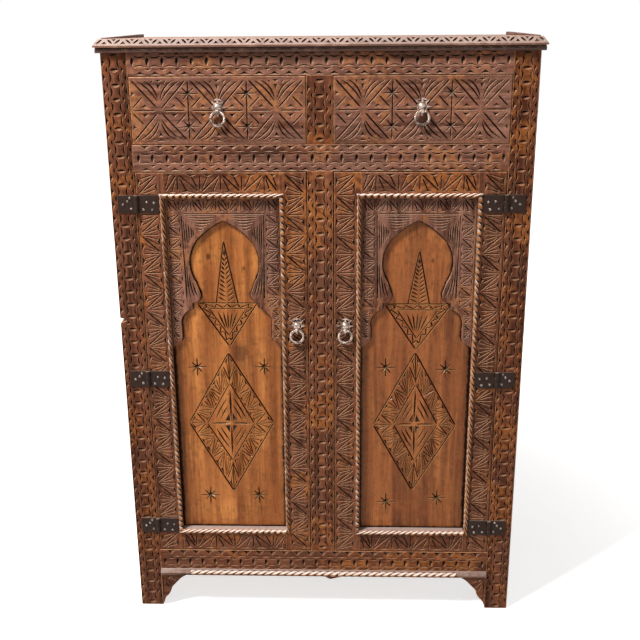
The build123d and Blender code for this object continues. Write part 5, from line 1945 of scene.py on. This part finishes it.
RIB_COUNT, RIB_DEPTH = 34.0, 0.2  # the depth is a share of the ring's thickness
ring_tree = make_ring_tree()
for kind in ("drawer", "door"):
    for side_name, _ in SIDES:
        node = f"{kind}_{side_name}_pull_ring"
        low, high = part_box(node)
        tube = (high.y - low.y) / 2
        mesh = grow(
            "ribbed_" + node, ring_tree, Centre=tuple((low + high) / 2), Radius=(high.x - low.x) / 2 - tube,
            Tube=tube, Ribs=RIB_COUNT, Depth=tube * RIB_DEPTH, Material=aged_nickel,
        )
        settle(grown_piece("ribbed_" + node, mesh, "z", aged_nickel), body_of(node), "aged_nickel", node)

# %% [markdown]
# ## Stage, light and camera
# A pale floor and soft lamps, as in a small studio. The camera stands at eye height a little
# right of the middle, and looks down at the middle of the cabinet.

# %% Stage


def seen_directly(tree):
    """1 for rays from the camera, and for those that metal or glass sends on."""
    rays = tree.nodes.new("ShaderNodeLightPath").outputs
    bounced = math_node(tree, "MAXIMUM", rays["Is Glossy Ray"], rays["Is Transmission Ray"])
    return math_node(tree, "MAXIMUM", rays["Is Camera Ray"], bounced)


def make_stage():
    """A pale floor that glows a little where it is seen, so that it is white but keeps shadows."""
    material = bpy.data.materials.new("studio_floor")
    material.use_nodes = True
    tree = material.node_tree
    shader = tree.nodes["Principled BSDF"]
    shader.inputs["Base Color"].default_value = (0.8, 0.8, 0.8, 1)
    shader.inputs["Roughness"].default_value = 0.95
    shader.inputs["Specular IOR Level"].default_value = 0.1
    shader.inputs["Emission Color"].default_value = (1, 1, 1, 1)
    place = add_node(tree, "ShaderNodeTexCoord").outputs["Object"]
    away = add_node(tree, "ShaderNodeVectorMath", {"operation": "LENGTH"}, _0=place).outputs["Value"]
    glow = math_node(tree, "MULTIPLY_ADD", ramp(tree, away, 0.5, 1.6), 0.4, 0.68)
    tree.links.new(math_node(tree, "MULTIPLY", seen_directly(tree), glow), shader.inputs["Emission Strength"])
    mesh = bpy.data.meshes.new("studio_floor")
    size = 12.0
    corners = [(-size, -size, 0), (size, -size, 0), (size, size, 0), (-size, size, 0)]
    mesh.from_pydata(corners, [], [(0, 1, 2, 3)])
    mesh.materials.append(material)
    floor = bpy.data.objects.new("studio_floor", mesh)
    bpy.context.scene.collection.objects.link(floor)


make_stage()

world = bpy.data.worlds.new("studio")
bpy.context.scene.world = world
world.use_nodes = True
tree = world.node_tree
background = tree.nodes["Background"]
background.inputs["Color"].default_value = (1.0, 0.98, 0.95, 1)
background.inputs["Strength"].default_value = 0.22
white = add_node(tree, "ShaderNodeBackground", Color=(1, 1, 1, 1), Strength=1.0)
mix = add_node(
    tree, "ShaderNodeMixShader", _0=seen_directly(tree), _1=background.outputs[0], _2=white.outputs[0]
)
tree.links.new(mix.outputs[0], tree.nodes["World Output"].inputs["Surface"])


def add_lamp(name, place, target, size, power, colour=(1, 1, 1)):
    """A square softbox that looks at a point."""
    data = bpy.data.lights.new(name, "AREA")
    data.shape = "RECTANGLE"
    data.size, data.size_y = size
    data.energy = power
    data.color = colour
    lamp = bpy.data.objects.new(name, data)
    bpy.context.scene.collection.objects.link(lamp)
    lamp.location = place
    lamp.rotation_euler = (Vector(target) - Vector(place)).to_track_quat("-Z", "Y").to_euler()


add_lamp("key_panel", (-1.5, -1.5, 3.2), (0, -0.1, 0.7), (0.6, 0.5), 190, (1.0, 0.98, 0.96))
add_lamp("front_fill", (0.9, -3.6, 1.5), (0, 0, 0.6), (2.4, 2.0), 16, (1.0, 0.98, 0.96))
add_lamp("side_fill", (2.8, -1.0, 1.8), (0, 0, 0.6), (1.5, 2.0), 10)

# %% Camera

camera_data = bpy.data.cameras.new("camera")
camera = bpy.data.objects.new("camera", camera_data)
bpy.context.scene.collection.objects.link(camera)
camera_data.sensor_width = 36
camera_data.lens = 51.27
pitch, yaw, roll = (math.radians(angle) for angle in (-17.67, -1.83, -0.43))
forward = Vector((math.sin(yaw) * math.cos(pitch), math.cos(yaw) * math.cos(pitch), math.sin(pitch)))
level_right = forward.cross(Vector((0, 0, 1))).normalized()
level_up = level_right.cross(forward)
right = level_right * math.cos(roll) + level_up * math.sin(roll)
up = level_up * math.cos(roll) - level_right * math.sin(roll)
turned = Matrix((right, up, -forward)).transposed().to_4x4()
camera.matrix_world = Matrix.Translation((0.05294, -1.93347, 1.21322)) @ turned
bpy.context.scene.camera = camera
bpy.context.scene.view_settings.view_transform = "Standard"
